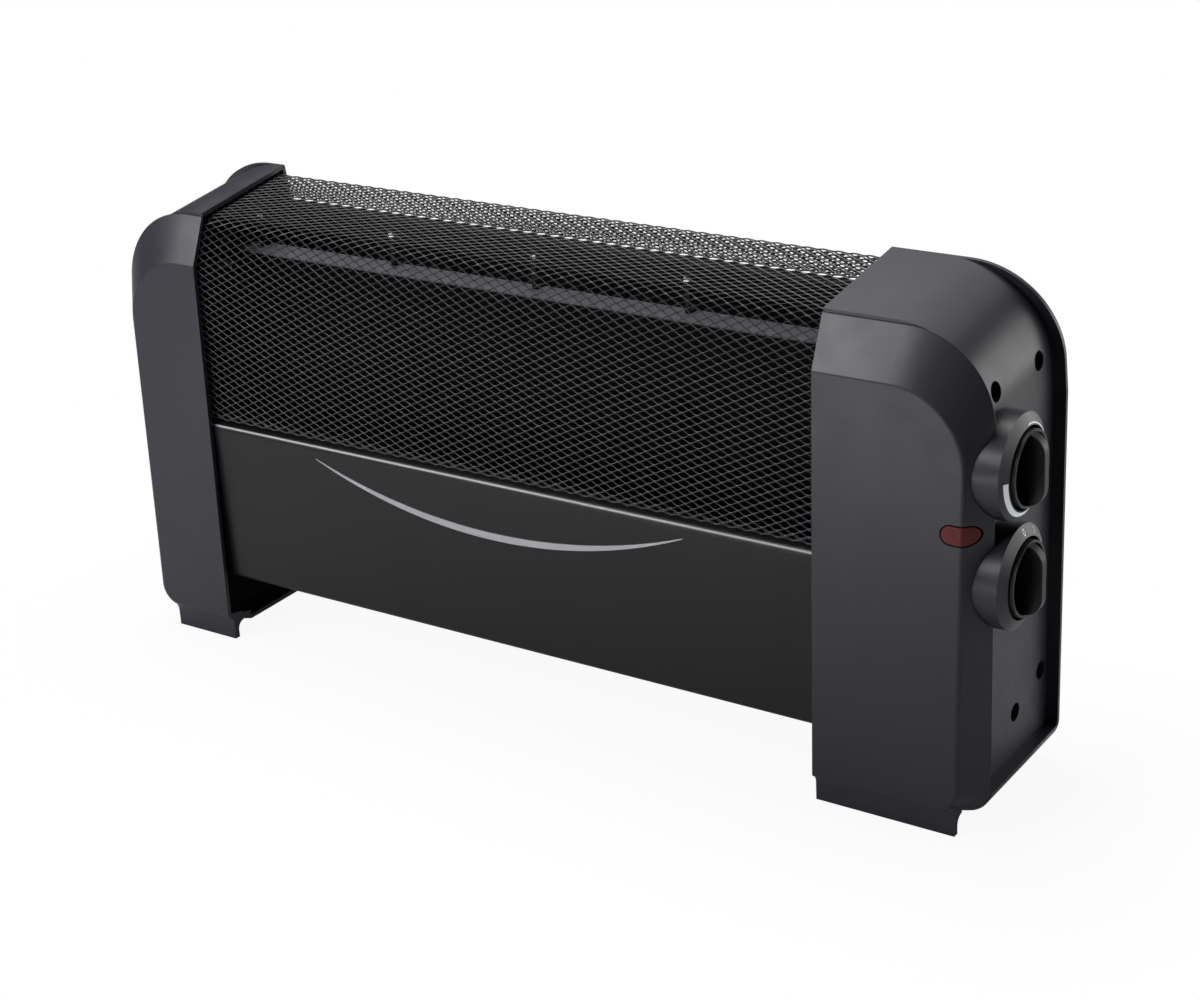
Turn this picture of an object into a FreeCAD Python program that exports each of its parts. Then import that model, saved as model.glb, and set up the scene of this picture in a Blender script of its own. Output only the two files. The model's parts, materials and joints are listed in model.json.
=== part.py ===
"""Portable baseboard heater: two moulded end caps on a folded steel body with a mesh grille.

Millimetres, +Z up, +X towards the control end, front towards -Y.
The origin is on the floor, below the middle of the whole heater.
"""
import FreeCAD, Part
import math
import os

Vec = FreeCAD.Vector
os.makedirs("parts", exist_ok=True)

# Overall layout
span = 395.0                 # clear length of the body between the two end caps
left_cap_width = 62.5
right_cap_width = 90.5
knob_reach = 18.0            # how far the knob grips stand out past the right cap
depth = 102.2                # lower front edge to rear face
face_bottom = 15.0           # lower edge of the front face
cap_floor = 7.0              # underside of the caps, held up by the feet

# End cap mouldings
wall = 2.5
front_lean = 6.7             # the front face comes forward by this much towards its lower edge
bevel_depth = 12.5           # front face crease back to the parting line
bevel_rise = 28.0            # front face crease up to the parting line
top_rise = 10.0              # parting line up to the rear edge of the top
bevel_side = 10.5            # width of the bevel down the outer side
crease_radius = 40.0
crease_foot_radius = 12.0
right_corner = 45.0          # outer top corner at the parting line
left_flat = 12.5             # flat part of the left cap's top, inner edge to its round corner
rear_corner_growth = 3.0     # the corner is this much rounder at the rear
foot_corner = 16.0           # outer bottom corner of the caps
crease_fillet = 3.0          # rounding of the crease round the front face
lip_fillet = 0.5             # rounding of the mouldings at the parting line and the inner edge
rim_fillet = 1.2             # rounding of the rear rim
lip_inset = 5.6              # thickness of the bevel wall at the parting line, measured down
lip_side = 3.3               # the same wall measured in from the outer side
crease_inset = 1.0           # hollow inside the outline of the front face
lip_flange = 2.2             # inward flange of the front shell down the outer side
rear_slant = 10.5            # the rear face leans in by this much at the top
slant_length = 65.0          # height of that leaning part
tail_radius = 11.0           # lower rear corner of the caps
tail_drop = 1.2              # that corner's arc ends below the caps' underside, so it meets it at an angle
side_recess = 6.5            # side panel below the lip and the rear rim
rim_width = 3.2
ledge_height = 20.0          # top of the ledge under the side panel
shell_fit = 0.4              # clearance where one moulding passes through another
notch_behind = 24.5          # moulded notch low on the side panel, behind the crease
notch_height = 54.0
notch_length = 5.5
notch_width = 1.6
notch_depth = 1.0

# Feet
foot_thickness = 3.6
foot_setback = 4.0           # front foot flange behind the lower front edge
rear_foot_setback = 1.2
right_foot_inset = 13.0      # foot end to the outer side of its cap
left_foot_inset = 18.0
foot_fillet = 5.0

# Sheet metal
sheet = 1.0
bend = 2.4                   # outside bend radius of the sheet parts
panel_bend = 3.6             # outside bend radius of the front panel
cap_overlap = 5.0            # how far the sheet parts run into the caps
plate = 1.2                  # end plates and brackets
fit = 0.3                    # clearance between neighbouring sheet parts

# Front panel and its accent
panel_setback = 0.5          # panel face behind the crease of the caps
panel_bottom = 39.8
panel_height = 97.8
panel_flange = 10.0
panel_screw_shares = (0.25, 0.75)  # panel screws up the height of the front panel
accent_half_length = 121.0
accent_low = 66.1            # middle of the crescent above the panel's lower edge
accent_rise = 23.3           # ends of the crescent above its middle
accent_width = 4.0
accent_thickness = 0.5
accent_tip = 0.4

# Mesh grille
mesh = 1.2
mesh_clearance = 0.6         # grille face inside the front wall of the caps
mesh_drop = 3.7              # grille top below the top of the caps
mesh_gap = 1.4               # lower edge of the grille front above the front panel
mesh_fold_depth = 6.0
mesh_skirt_drop = 19.5       # lower edge of the grille at the rear below the top
mesh_bend = 6.0
mesh_columns = 13            # openings in a row of the grille
front_rows = 11
top_rows = 8
strand = 3.0

# Rear panel and base
skirt_gap = 0.5              # rear panel below the grille's rear edge
base_slot_length = 62.0
base_slot_width = 9.0
base_slots = 17              # in the base plate, with one space left free at each end

# Heating element
rod_radius = 4.0
rod_rise = 44.2              # rod axis above the lower edge of the front panel
rod_behind = 46.0            # rod axis behind the crease of the caps
rod_tail = 20.0              # rod past the end plate at the control end
rod_stub = 9.0               # rod past the other end plate
fin_size = 38.0
fin_thickness = 0.8
fins_in_row = 33             # fin places along the rod, two of them taken by the hangers
bush_radius = 8.0
bush_flange = 11.0
bush_lip = 3.0
hanger_width = 24.0
hanger_slots = 4.5           # hangers stand between two base slots, this many from the middle
running_fit = 0.05

# Baffle
baffle_behind = 44.0
baffle_rise = 15.0           # lower edge of the baffle above the fins
baffle_drop = 40.0           # baffle below the top of the caps
baffle_lip = 16.0

# Controls
selector_rise = 49.0         # selector axis above the rod
knob_radius = 19.2
knob_clearance = 1.6         # bore of the boss round the knob
bezel_width = 5.8
boss_setback = 2.0           # bosses behind the crease of the caps
boss_gap = 3.8               # between the two knob bosses
crease_rise = 42.0           # front face crease above the thermostat axis
bezel_edge = 5.5             # outer edge of the bezel past the cap's side
bezel_peak = 8.6             # inner edge of the bezel past the cap's side
knob_face = 10.5             # knob rim past the cap's side
knob_dish = 8.0              # depth of the hollow on both sides of the grip
knob_rim = 1.4
grip_waist = 5.0
grip_end_width = 6.6
grip_round = 10.0            # rounding of the grip towards the rim
knob_fillet = 0.6
knob_floor_gap = 1.0
shaft_radius = 3.0
shaft_flat = 0.8
shaft_end_gap = 1.5          # shaft tip below the floor of the knob's hollow
bushing_radius = 5.0
bracket_depth = 20.0         # control bracket inside the cap's side
control_body_depth = 22.0
control_screw_share = 0.7    # control screws out from the axis, of half a body's size
thermostat_size = 32.0
switch_size = 28.0
bracket_margin = 12.0        # bracket below the selector switch
bracket_gap = 1.0            # bracket below the upper posts

# Indicator
lamp_rise = 1.0              # lamp above the middle between the two knobs
lens_length = 16.8
lens_height = 9.2
lens_reach = 4.6             # lens end inside the cap's outer side
lens_fit = 0.8
lamp_radius = 2.5
lamp_length = 14.0
collar_wall = 1.4
collar_length = 9.0

# Fasteners
well_radius = 5.0            # screw wells in the caps' sides
post_radius = 7.0
screw_radius = 2.0
screw_head_radius = 3.8
screw_head = 2.6
screw_length = 12.0
screw_fit = 0.2
post_floor = 3.0             # plastic under a cap screw's head
post_gap = 4.4               # upper wells above the thermostat's boss
rear_post_step = 10.0        # lower rear post above the lower front one
upper_front_post = 27.0      # front posts behind the crease of the caps
lower_front_post = 53.0
upper_rear_post = 21.5       # rear posts in front of the rear face
lower_rear_post = 12.0

# Small electrical parts
terminal_length = 34.0
terminal_width = 18.0
terminal_depth = 14.0
terminal_gap = 1.5           # terminal block below the bush's flange and above the post
tilt_size = 18.0
tilt_height = 24.0
cutout_radius = 8.0
cutout_depth = 6.0
cutout_tab_reach = 12.8      # ends of the cut-out's tabs from its middle
gland_radius = 6.0
gland_flange = 9.0
gland_bore = 3.6
gland_drop = 21.0            # gland axis below the lower rear post
gland_inset = 42.0           # gland axis inside the right cap's outer side
gland_recess = 0.4           # gland behind the rear face
lead_radius = 1.2
lead_bend = 6.0
lead_exit_share = 0.75       # leads leave the controls this far down their depth
clip_size = 7.0
clip_width = 3.0
clip_count = 5
clip_inset = 5.5             # outermost clips inside the ends of the body

# Knob bosses
bezel_radius = knob_radius + knob_clearance
boss_radius = bezel_radius + bezel_width

# Heights, one above the other
panel_top = panel_bottom + panel_height
mesh_fold = panel_top + mesh_gap
rod_height = panel_bottom + rod_rise
selector_height = rod_height + selector_rise
thermostat_height = selector_height + 2 * boss_radius + boss_gap
lamp_height = (selector_height + thermostat_height) / 2 + lamp_rise
crease_height = thermostat_height + crease_rise
part_height = crease_height + bevel_rise
rear_height = part_height + top_rise
slant_start = rear_height - slant_length
mesh_skirt = rear_height - mesh_skirt_drop
rear_panel_top = mesh_skirt - skirt_gap
baffle_bottom = rod_height + fin_size / 2 + baffle_rise
baffle_top = rear_height - baffle_drop
upper_post_height = thermostat_height + boss_radius + post_gap + well_radius
terminal_z = rod_height - bush_flange - terminal_gap - terminal_width / 2
lower_front_post_height = terminal_z - terminal_width / 2 - terminal_gap - post_radius
lower_rear_post_height = lower_front_post_height + rear_post_step
gland_height = lower_rear_post_height - gland_drop

# Stations along X
total_length = left_cap_width + span + right_cap_width + knob_reach
left_side = -total_length / 2
left_edge = left_side + left_cap_width
right_edge = left_edge + span
right_side = right_edge + right_cap_width
body_middle = (left_edge + right_edge) / 2
left_corner = left_cap_width - left_flat
sheet_left = left_edge - cap_overlap
sheet_right = right_edge + cap_overlap
plate_left = sheet_left - plate
plate_right = sheet_right + plate
panel_side = right_side - side_recess
bracket_face = right_side - bracket_depth
base_slot_pitch = span / (base_slots + 2)
fin_pitch = span / (fins_in_row + 3)
clip_spacing = (span - 2 * clip_inset) / (clip_count - 1)

# Stations along Y
nose = -depth / 2
crease = nose + front_lean
parting = crease + bevel_depth
tail = depth / 2
top_rear = tail - rear_slant
panel_face = crease + panel_setback
mesh_setback = wall + mesh_clearance
mesh_face = crease + mesh_setback
knob_axis = crease + boss_setback + boss_radius
rod_axis = crease + rod_behind
baffle_face = crease + baffle_behind
top_slope = (rear_height - part_height) / (top_rear - parting)


def top_at(y):
    """Height of the caps' top surface at a given depth."""
    return part_height + top_slope * (y - parting)


def front_at(z):
    """Depth of the caps' leaning front face at a given height."""
    return crease - front_lean * (crease_height - z) / (crease_height - face_bottom)


def rear_at(z):
    """Depth of the caps' rear face at a given height."""
    rise = max(0.0, z - slant_start)
    return tail - rear_slant * rise / (rear_height - slant_start)


# Sections


def box(x0, x1, y0, y1, z0, z1):
    """Block between two corners."""
    return Part.makeBox(x1 - x0, y1 - y0, z1 - z0, Vec(x0, y0, z0))


def rod_x(x0, x1, y, z, radius):
    """Cylinder along X."""
    return Part.makeCylinder(radius, x1 - x0, Vec(x0, y, z), Vec(1, 0, 0))


def rod_y(y0, y1, x, z, radius):
    """Cylinder along Y."""
    return Part.makeCylinder(radius, y1 - y0, Vec(x, y0, z), Vec(0, 1, 0))


def turned(points, y, z):
    """Solid of revolution about an X axis from (x, radius) points."""
    corners = [Vec(x, y + radius, z) for x, radius in points]
    face = Part.Face(Part.makePolygon(corners + corners[:1]))
    return face.revolve(Vec(0, y, z), Vec(1, 0, 0), 360)


def unit(a, b):
    """Unit direction from one 2-D point to another."""
    length = math.hypot(b[0] - a[0], b[1] - a[1])
    return ((b[0] - a[0]) / length, (b[1] - a[1]) / length)


def shifted(points, distance):
    """Open polyline moved sideways to its left, with its corners kept on the moved lines."""
    directions = [unit(a, b) for a, b in zip(points, points[1:])]
    normals = [(-v, u) for u, v in directions]
    moved = []
    for i, (u, v) in enumerate(points):
        before = normals[max(i - 1, 0)]
        after = normals[min(i, len(normals) - 1)]
        reach = distance / (1 + before[0] * after[0] + before[1] * after[1])
        moved.append((u + reach * (before[0] + after[0]), v + reach * (before[1] + after[1])))
    return moved


def turn_side(a, b, c):
    """+1 where a path a-b-c turns left, -1 where it turns right."""
    first, second = unit(a, b), unit(b, c)
    return 1 if first[0] * second[1] - first[1] * second[0] > 0 else -1


def path_edges(points, radii, place):
    """Edges of a polyline with an arc of its own radius at every inner corner."""
    edges = []
    start = points[0]
    for before, corner, after, radius in zip(points, points[1:], points[2:], radii):
        first, second = unit(before, corner), unit(corner, after)
        cosine = first[0] * second[0] + first[1] * second[1]
        half = math.acos(max(-1.0, min(1.0, cosine))) / 2
        run = radius * math.tan(half)
        bow = radius / math.cos(half) - radius
        inward = unit(first, second)
        enter = (corner[0] - first[0] * run, corner[1] - first[1] * run)
        leave = (corner[0] + second[0] * run, corner[1] + second[1] * run)
        middle = (corner[0] + inward[0] * bow, corner[1] + inward[1] * bow)
        edges.append(Part.LineSegment(place(start), place(enter)).toShape())
        edges.append(Part.Arc(place(enter), place(middle), place(leave)).toShape())
        start = leave
    edges.append(Part.LineSegment(place(start), place(points[-1])).toShape())
    return edges


def bent_sheet(points, thickness, radius, low, high, axis):
    """Folded sheet: the points are its outer face, its thickness lies to their left."""
    if axis == "X":
        place = lambda p: Vec(low, p[0], p[1])
        along = Vec(high - low, 0, 0)
    else:
        place = lambda p: Vec(p[0], low, p[1])
        along = Vec(0, high - low, 0)
    sides = [turn_side(a, b, c) for a, b, c in zip(points, points[1:], points[2:])]
    outer_radii = [radius if side > 0 else radius - thickness for side in sides]
    inner_radii = [radius - thickness if side > 0 else radius for side in sides]
    inner = shifted(points, thickness)
    edges = path_edges(points, outer_radii, place)
    edges.append(Part.LineSegment(place(points[-1]), place(inner[-1])).toShape())
    edges += path_edges(inner, inner_radii, place)
    edges.append(Part.LineSegment(place(inner[0]), place(points[0])).toShape())
    wire = Part.Wire(Part.__sortEdges__(edges))
    return Part.Face(wire).extrude(along)


def side_profile(points, low, high):
    """Prism along X over a (y, z) polygon."""
    corners = [Vec(low, y, z) for y, z in points]
    return Part.Face(Part.makePolygon(corners + corners[:1])).extrude(Vec(high - low, 0, 0))


def export(node, shape):
    """Write one node, checked to be sound."""
    if not shape.isValid():
        raise ValueError(node + " is not a valid shape")
    shape.exportStep("parts/" + node + ".step")


# End caps


def cap_outline(inner, outer, bottom, top, top_radius, bottom_radius, y):
    """Cap outline in an upright plane: straight inner edge, flat top, round outer corners."""
    side = 1 if outer > inner else -1
    diagonal = math.sqrt(0.5)

    def at(x, z):
        return Vec(x, y, z)

    def corner(start, centre, radius, upward, end):
        middle = at(centre[0] + side * radius * diagonal, centre[1] + upward * radius * diagonal)
        return Part.Arc(start, middle, end).toShape()

    top_start = at(outer - side * top_radius, top)
    top_end = at(outer, top - top_radius)
    low_start = at(outer, bottom + bottom_radius)
    low_end = at(outer - side * bottom_radius, bottom)
    edges = [
        Part.LineSegment(at(inner, bottom), at(inner, top)).toShape(),
        Part.LineSegment(at(inner, top), top_start).toShape(),
        corner(top_start, (outer - side * top_radius, top - top_radius), top_radius, 1, top_end),
        Part.LineSegment(top_end, low_start).toShape(),
        corner(low_start, (outer - side * bottom_radius, bottom + bottom_radius), bottom_radius, -1,
               low_end),
        Part.LineSegment(low_end, at(inner, bottom)).toShape(),
    ]
    return Part.Wire(edges)


def face_outline(inner, outer, inset, y):
    """Outline of the front face, leaning forward towards its lower edge."""
    side = 1 if outer > inner else -1
    wire = cap_outline(inner, outer - side * (bevel_side + inset), face_bottom + inset,
                       crease_height - inset, crease_radius - inset, crease_foot_radius - inset, y)
    lean = math.degrees(math.asin(front_lean / (crease_height - face_bottom)))
    wire.rotate(Vec(0, y, crease_height), Vec(1, 0, 0), -lean)
    return wire


def within(edge, axis, value):
    """True where a whole edge lies in the plane across an axis at a value."""
    bounds = edge.BoundBox
    low, high = {"X": (bounds.XMin, bounds.XMax), "Y": (bounds.YMin, bounds.YMax)}[axis]
    return max(abs(low - value), abs(high - value)) < 1e-3


def loft(first, second):
    """Ruled solid between two outlines."""
    return Part.makeLoft([first, second], True, True)


def parting_outline(inner, outer, corner, inset, side_inset, y):
    """Outline of a cap at its parting line, drawn in by the given insets."""
    side = 1 if outer > inner else -1
    return cap_outline(inner, outer - side * side_inset, cap_floor + inset, part_height - inset,
                       corner - inset, foot_corner - min(inset, side_inset), y)


def rear_outline(inner, outer, corner, inset, side_inset):
    """Outline of a cap at its rear face, before the face is slanted."""
    side = 1 if outer > inner else -1
    return cap_outline(inner, outer - side * side_inset, cap_floor + inset, top_at(tail) - inset,
                       corner + rear_corner_growth - inset, foot_corner - min(inset, side_inset), tail)


def rear_prism(inset, low, high):
    """Everything in front of the slanted rear face, with the rounded lower rear corner."""
    back = tail - inset
    floor = cap_floor + inset - tail_drop
    radius = tail_radius - inset
    diagonal = math.sqrt(0.5)
    place = lambda y, z: Vec(low, y, z)
    lift = top_at(tail) + wall
    slant_top = (back - rear_slant * (lift - slant_start) / (rear_height - slant_start), lift)
    points = [place(nose, floor), place(back - radius, floor), place(back, floor + radius),
              place(back, slant_start), place(*slant_top), place(nose, lift)]
    bow = place(back - radius * (1 - diagonal), floor + radius * (1 - diagonal))
    edges = [Part.LineSegment(points[0], points[1]).toShape(), Part.Arc(points[1], bow, points[2]).toShape()]
    edges += [Part.LineSegment(a, b).toShape() for a, b in zip(points[2:], points[3:] + points[:1])]
    return Part.Face(Part.Wire(edges)).extrude(Vec(high - low, 0, 0))


def front_foot(inner, outer):
    """Foot flange under the front face, with a hollow round where it meets the cap's floor."""
    front = nose + foot_setback
    back = front + foot_thickness
    floor = cap_floor + wall
    step = foot_fillet * (1 - math.sqrt(0.5))
    place = lambda y, z: Vec(min(inner, outer), y, z)
    points = [place(nose + wall / 2, face_bottom + wall), place(front, face_bottom - foot_setback),
              place(front, 0), place(back, 0), place(back, floor - foot_fillet),
              place(back + foot_fillet, floor), place(back + foot_fillet, face_bottom)]
    edges = [Part.LineSegment(a, b).toShape() for a, b in zip(points[:4], points[1:5])]
    edges.append(Part.Arc(points[4], place(back + step, floor - step), points[5]).toShape())
    edges.append(Part.LineSegment(points[5], points[6]).toShape())
    edges.append(Part.LineSegment(points[6], points[0]).toShape())
    return Part.Face(Part.Wire(edges)).extrude(Vec(abs(outer - inner), 0, 0))


def rear_foot(inner, outer):
    """Foot flange under the rear edge."""
    low, high = min(inner, outer), max(inner, outer)
    back = tail - rear_foot_setback
    return box(low, high, back - foot_thickness, back, 0, cap_floor + tail_radius - wall)


def front_shell(inner, outer, corner, foot_inset):
    """Front moulding of a cap: leaning face, bevel, flange at the parting line and foot."""
    side = 1 if outer > inner else -1
    beyond = inner - side * wall
    skin = loft(face_outline(inner, outer, 0, crease), parting_outline(inner, outer, corner, 0, 0, parting))
    ahead = [edge for edge in skin.Edges if edge.BoundBox.YMax < parting - wall]
    skin = skin.makeFillet(crease_fillet, [edge for edge in ahead if not within(edge, "X", inner)])
    lip = [edge for edge in skin.Edges if within(edge, "Y", parting) and not within(edge, "X", inner)]
    skin = skin.makeFillet(lip_fillet, lip)
    hollow = loft(face_outline(beyond, outer, crease_inset, crease + wall),
                  parting_outline(beyond, outer, corner, lip_inset, lip_side, parting))
    mouth_wire = parting_outline(beyond, outer, corner, lip_inset, side_recess + wall, parting - lip_flange)
    mouth = Part.Face(mouth_wire).extrude(Vec(0, lip_flange, 0))
    slab = box(min(beyond, outer), max(beyond, outer), parting - lip_flange, parting, cap_floor, part_height)
    hollow = hollow.cut(slab.cut(mouth))
    shell = skin.cut(hollow)
    return shell.fuse(front_foot(inner, outer - side * foot_inset)).removeSplitter(), skin, hollow


def cap_posts():
    """Depth and height of the four screw posts of a cap."""
    return [(crease + upper_front_post, upper_post_height), (tail - upper_rear_post, upper_post_height),
            (crease + lower_front_post, lower_front_post_height),
            (tail - lower_rear_post, lower_rear_post_height)]


def rear_shell(inner, outer, corner, foot_inset, plate_face):
    """Rear moulding of a cap: recessed side panel, rear rim, ledge, feet and screw posts."""
    side = 1 if outer > inner else -1
    low, high = min(inner, outer) - wall, max(inner, outer) + wall
    beyond = inner - side * wall
    trim = rear_prism(0, low, high)
    full = loft(parting_outline(inner, outer, corner, 0, 0, parting),
                rear_outline(inner, outer, corner, 0, 0))
    body = loft(parting_outline(inner, outer, corner, 0, side_recess, parting),
                rear_outline(inner, outer, corner, 0, side_recess))
    rim_start = rear_prism(rim_width, low, high)
    recess = full.cut(body).common(rim_start).common(box(low, high, nose, tail, ledge_height, rear_height))
    skin = full.common(trim)
    behind = [edge for edge in skin.Edges if edge.BoundBox.YMin > top_rear - wall and
              not within(edge, "X", inner) and edge.CenterOfMass.z > ledge_height]
    skin = skin.makeFillet(rim_fillet, behind).cut(recess)
    hollow = loft(parting_outline(beyond, outer, corner, wall, side_recess + wall, parting),
                  rear_outline(beyond, outer, corner, wall, side_recess + wall))
    shell = skin.cut(hollow.common(rear_prism(wall, low - wall, high)))
    for y, z in cap_posts():
        post = rod_x(min(plate_face, outer), max(plate_face, outer), y, z, post_radius)
        shell = shell.fuse(post.common(skin))
    shell = shell.fuse(rear_foot(inner, outer - side * foot_inset))
    for y, z in cap_posts():
        seat = plate_face + side * post_floor
        shell = shell.cut(rod_x(min(seat, outer + side), max(seat, outer + side), y, z, well_radius))
        shell = shell.cut(rod_x(min(plate_face, seat), max(plate_face, seat), y, z, screw_radius + screw_fit))
    return shell.removeSplitter()


def boss_solid(z):
    """Hollow knob boss with its sloping bezel and a floor with the shaft hole."""
    inside = panel_side - wall
    points = [(inside, bushing_radius), (inside, boss_radius), (right_side + bezel_edge, boss_radius),
              (right_side + bezel_peak, bezel_radius), (panel_side, bezel_radius),
              (panel_side, bushing_radius)]
    return turned(points, knob_axis, z)


def lens_prism(grow):
    """Pill-shaped prism through the crease of the right front shell."""
    high = right_side - lens_reach
    low = high - lens_length
    radius = lens_height / 2
    y0, y1 = nose, parting - lip_flange
    body = box(low + radius, high - radius, y0, y1, lamp_height - radius - grow, lamp_height + radius + grow)
    ends = [rod_y(y0, y1, x, lamp_height, radius + grow) for x in (low + radius, high - radius)]
    return body.multiFuse(ends).removeSplitter()


knob_heights = {"thermostat": thermostat_height, "selector": selector_height}

left_front, left_skin, left_hollow = front_shell(left_edge, left_side, left_corner, left_foot_inset)
right_front, right_skin, right_hollow = front_shell(right_edge, right_side, right_corner, right_foot_inset)
left_rear = rear_shell(left_edge, left_side, left_corner, left_foot_inset, plate_left)
right_rear = rear_shell(right_edge, right_side, right_corner, right_foot_inset, plate_right)

for height in knob_heights.values():
    boss = boss_solid(height)
    bore = rod_x(panel_side - 2 * wall, right_side + knob_reach, knob_axis, height, boss_radius - wall)
    right_rear = right_rear.cut(bore).fuse(boss)
    passage = rod_x(panel_side - wall - shell_fit, right_side + knob_reach, knob_axis, height,
                    boss_radius + shell_fit)
    right_front = right_front.cut(passage)

gland_axis = right_side - gland_inset
gland_face = rear_at(gland_height)
right_rear = right_rear.cut(rod_y(gland_face - 2 * wall, tail, gland_axis, gland_height, gland_radius))
right_front = right_front.cut(lens_prism(lens_fit))
notch_axis = crease + notch_behind
notch = box(panel_side - notch_depth, panel_side, notch_axis - notch_width / 2, notch_axis + notch_width / 2,
            notch_height - notch_length / 2, notch_height + notch_length / 2)
right_rear = right_rear.cut(notch)

lamp_axis = right_side - lens_reach - lens_length / 2 - lens_height / 4
lens_back = front_at(lamp_height) + wall
collar = rod_y(lens_back - wall / 2, lens_back + collar_length, lamp_axis, lamp_height,
               lamp_radius + collar_wall)
lens_wall = right_skin.cut(right_hollow).common(lens_prism(0))
lens = lens_wall.fuse(collar)
lens = lens.cut(rod_y(lens_back, lens_back + collar_length, lamp_axis, lamp_height,
                      lamp_radius + running_fit))
lamp = rod_y(lens_back + fit, lens_back + fit + lamp_length, lamp_axis, lamp_height, lamp_radius)

export("left_front_shell", left_front)
export("left_rear_shell", left_rear)
export("right_front_shell", right_front.removeSplitter())
export("right_rear_shell", right_rear.removeSplitter())
export("indicator_lens", lens.removeSplitter())
export("indicator_lamp", lamp)

# Folded steel body

panel_points = [(panel_face + panel_flange, panel_top), (panel_face, panel_top),
                (panel_face, panel_bottom), (panel_face + panel_flange, panel_bottom)]
front_panel = bent_sheet(panel_points, sheet, panel_bend, sheet_left, sheet_right, "X")

mesh_top_front = part_height - mesh_drop
bevel_run = bevel_depth / (part_height - crease_height)
mesh_corner = mesh_face + bevel_run * (mesh_top_front - crease_height)
mesh_rear = rear_at(mesh_skirt) - mesh_setback
mesh_rear_top = top_at(top_rear) - mesh_drop
mesh_points = [
    (mesh_face + mesh_fold_depth, mesh_fold),
    (mesh_face, mesh_fold),
    (mesh_face, crease_height),
    (mesh_corner, mesh_top_front),
    (rear_at(mesh_rear_top) - mesh_setback, mesh_rear_top),
    (mesh_rear, mesh_skirt),
]
grille = bent_sheet(mesh_points[::-1], mesh, mesh_bend / 2, sheet_left, sheet_right, "X")


def diamonds(low, high, rows, place, along):
    """Staggered diamond cutters over one flat of the grille, between two edges of that flat."""
    pitch = span / (mesh_columns + 1)
    half_length = pitch / 2 - strand
    row_step = (high - low + strand) / (rows + 1)
    half_height = row_step - strand / 2
    cutters = []
    for row in range(rows):
        v = low + half_height + row * row_step
        count = mesh_columns + row % 2
        for column in range(count):
            x = body_middle + (column - (count - 1) / 2) * pitch
            corners = [place(x - half_length, v), place(x, v + half_height),
                       place(x + half_length, v), place(x, v - half_height)]
            face = Part.Face(Part.makePolygon(corners + corners[:1]))
            cutters.append(face.extrude(along))
    return cutters


front_cutters = diamonds(mesh_fold + mesh_bend, crease_height - mesh_bend, front_rows,
                         lambda x, z: Vec(x, mesh_face - mesh, z), Vec(0, 3 * mesh, 0))
top_cutters = diamonds(mesh_corner + mesh_bend, mesh_points[4][0] - mesh_bend, top_rows,
                       lambda x, y: Vec(x, y, mesh_top_front - mesh_drop), Vec(0, 0, 5 * mesh_drop))
grille = grille.cut(Part.makeCompound(front_cutters + top_cutters))

rear_face = tail - mesh_setback
rear_points = [
    (rear_at(rear_panel_top) - mesh_setback - panel_flange, rear_panel_top),
    (rear_at(rear_panel_top) - mesh_setback, rear_panel_top),
    (rear_face, slant_start),
    (rear_face, panel_bottom),
    (rear_face - panel_flange, panel_bottom),
]
rear_panel = bent_sheet(rear_points[::-1], sheet, bend, sheet_left, sheet_right, "X")

base_z = panel_bottom + sheet
base_plate = box(sheet_left, sheet_right, panel_face + sheet + panel_bend, rear_face - sheet - bend,
                 base_z, base_z + sheet)
base_middle = (panel_face + rear_face) / 2
for index in range(base_slots):
    x = body_middle + (index - (base_slots - 1) / 2) * base_slot_pitch
    slot = box(x - base_slot_width / 2, x + base_slot_width / 2, base_middle - base_slot_length / 2,
               base_middle + base_slot_length / 2, base_z - sheet, base_z + 2 * sheet)
    base_plate = base_plate.cut(slot)

inside_mesh = shifted(mesh_points[::-1], mesh + fit)[::-1]
plate_points = [
    (panel_face + sheet + fit, face_bottom + wall + fit),
    (panel_face + sheet + fit, panel_top - sheet - fit),
    (panel_face + panel_flange + fit, panel_top - sheet - fit),
    (panel_face + panel_flange + fit, mesh_fold + mesh + fit),
    (inside_mesh[1][0], mesh_fold + mesh + fit),
    inside_mesh[2],
    inside_mesh[3],
    inside_mesh[4],
    (inside_mesh[5][0], rear_panel_top + fit),
    (inside_mesh[5][0] - panel_flange, rear_panel_top + fit),
    (inside_mesh[5][0] - panel_flange, rear_panel_top - sheet - fit),
    (rear_at(rear_panel_top) - mesh_setback - sheet - 2 * fit, rear_panel_top - sheet - fit),
    (rear_face - sheet - 2 * fit, slant_start),
    (rear_face - sheet - 2 * fit, face_bottom + wall + fit),
]

cap_screw_points = cap_posts()
panel_screw_points = [(panel_face + panel_flange / 2 + sheet, panel_bottom + panel_height * share)
                      for share in panel_screw_shares]
panel_screw_points += [(rear_face - panel_flange / 2 - sheet, z) for z in (rod_height + panel_flange,
                                                                         slant_start - panel_flange * 2)]


def end_plate(low):
    """Steel end plate with the holes for the rod's bush, the cap screws and the panel screws."""
    shape = side_profile(plate_points, low, low + plate)
    shape = shape.cut(rod_x(low, low + plate, rod_axis, rod_height, bush_radius + running_fit))
    for y, z in cap_screw_points + panel_screw_points:
        shape = shape.cut(rod_x(low, low + plate, y, z, screw_radius + screw_fit))
    return shape


def end_tabs(shape, front):
    """Folded tabs of a panel that lie on the end plates and take the panel screws."""
    for x in (sheet_left, sheet_right - sheet):
        for y, z in panel_screw_points:
            if (y < base_middle) != front:
                continue
            half = panel_flange
            reach = panel_flange / 2 + sheet
            start = panel_face + sheet / 2 if front else y - reach
            end = y + reach if front else rear_face - sheet / 2
            tab = box(x, x + sheet, start, end, z - half, z + half)
            hole = rod_x(x, x + sheet, y, z, screw_radius + screw_fit)
            shape = shape.fuse(tab).cut(hole)
    return shape.removeSplitter()


front_panel = end_tabs(front_panel, True)
rear_panel = end_tabs(rear_panel, False)

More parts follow.
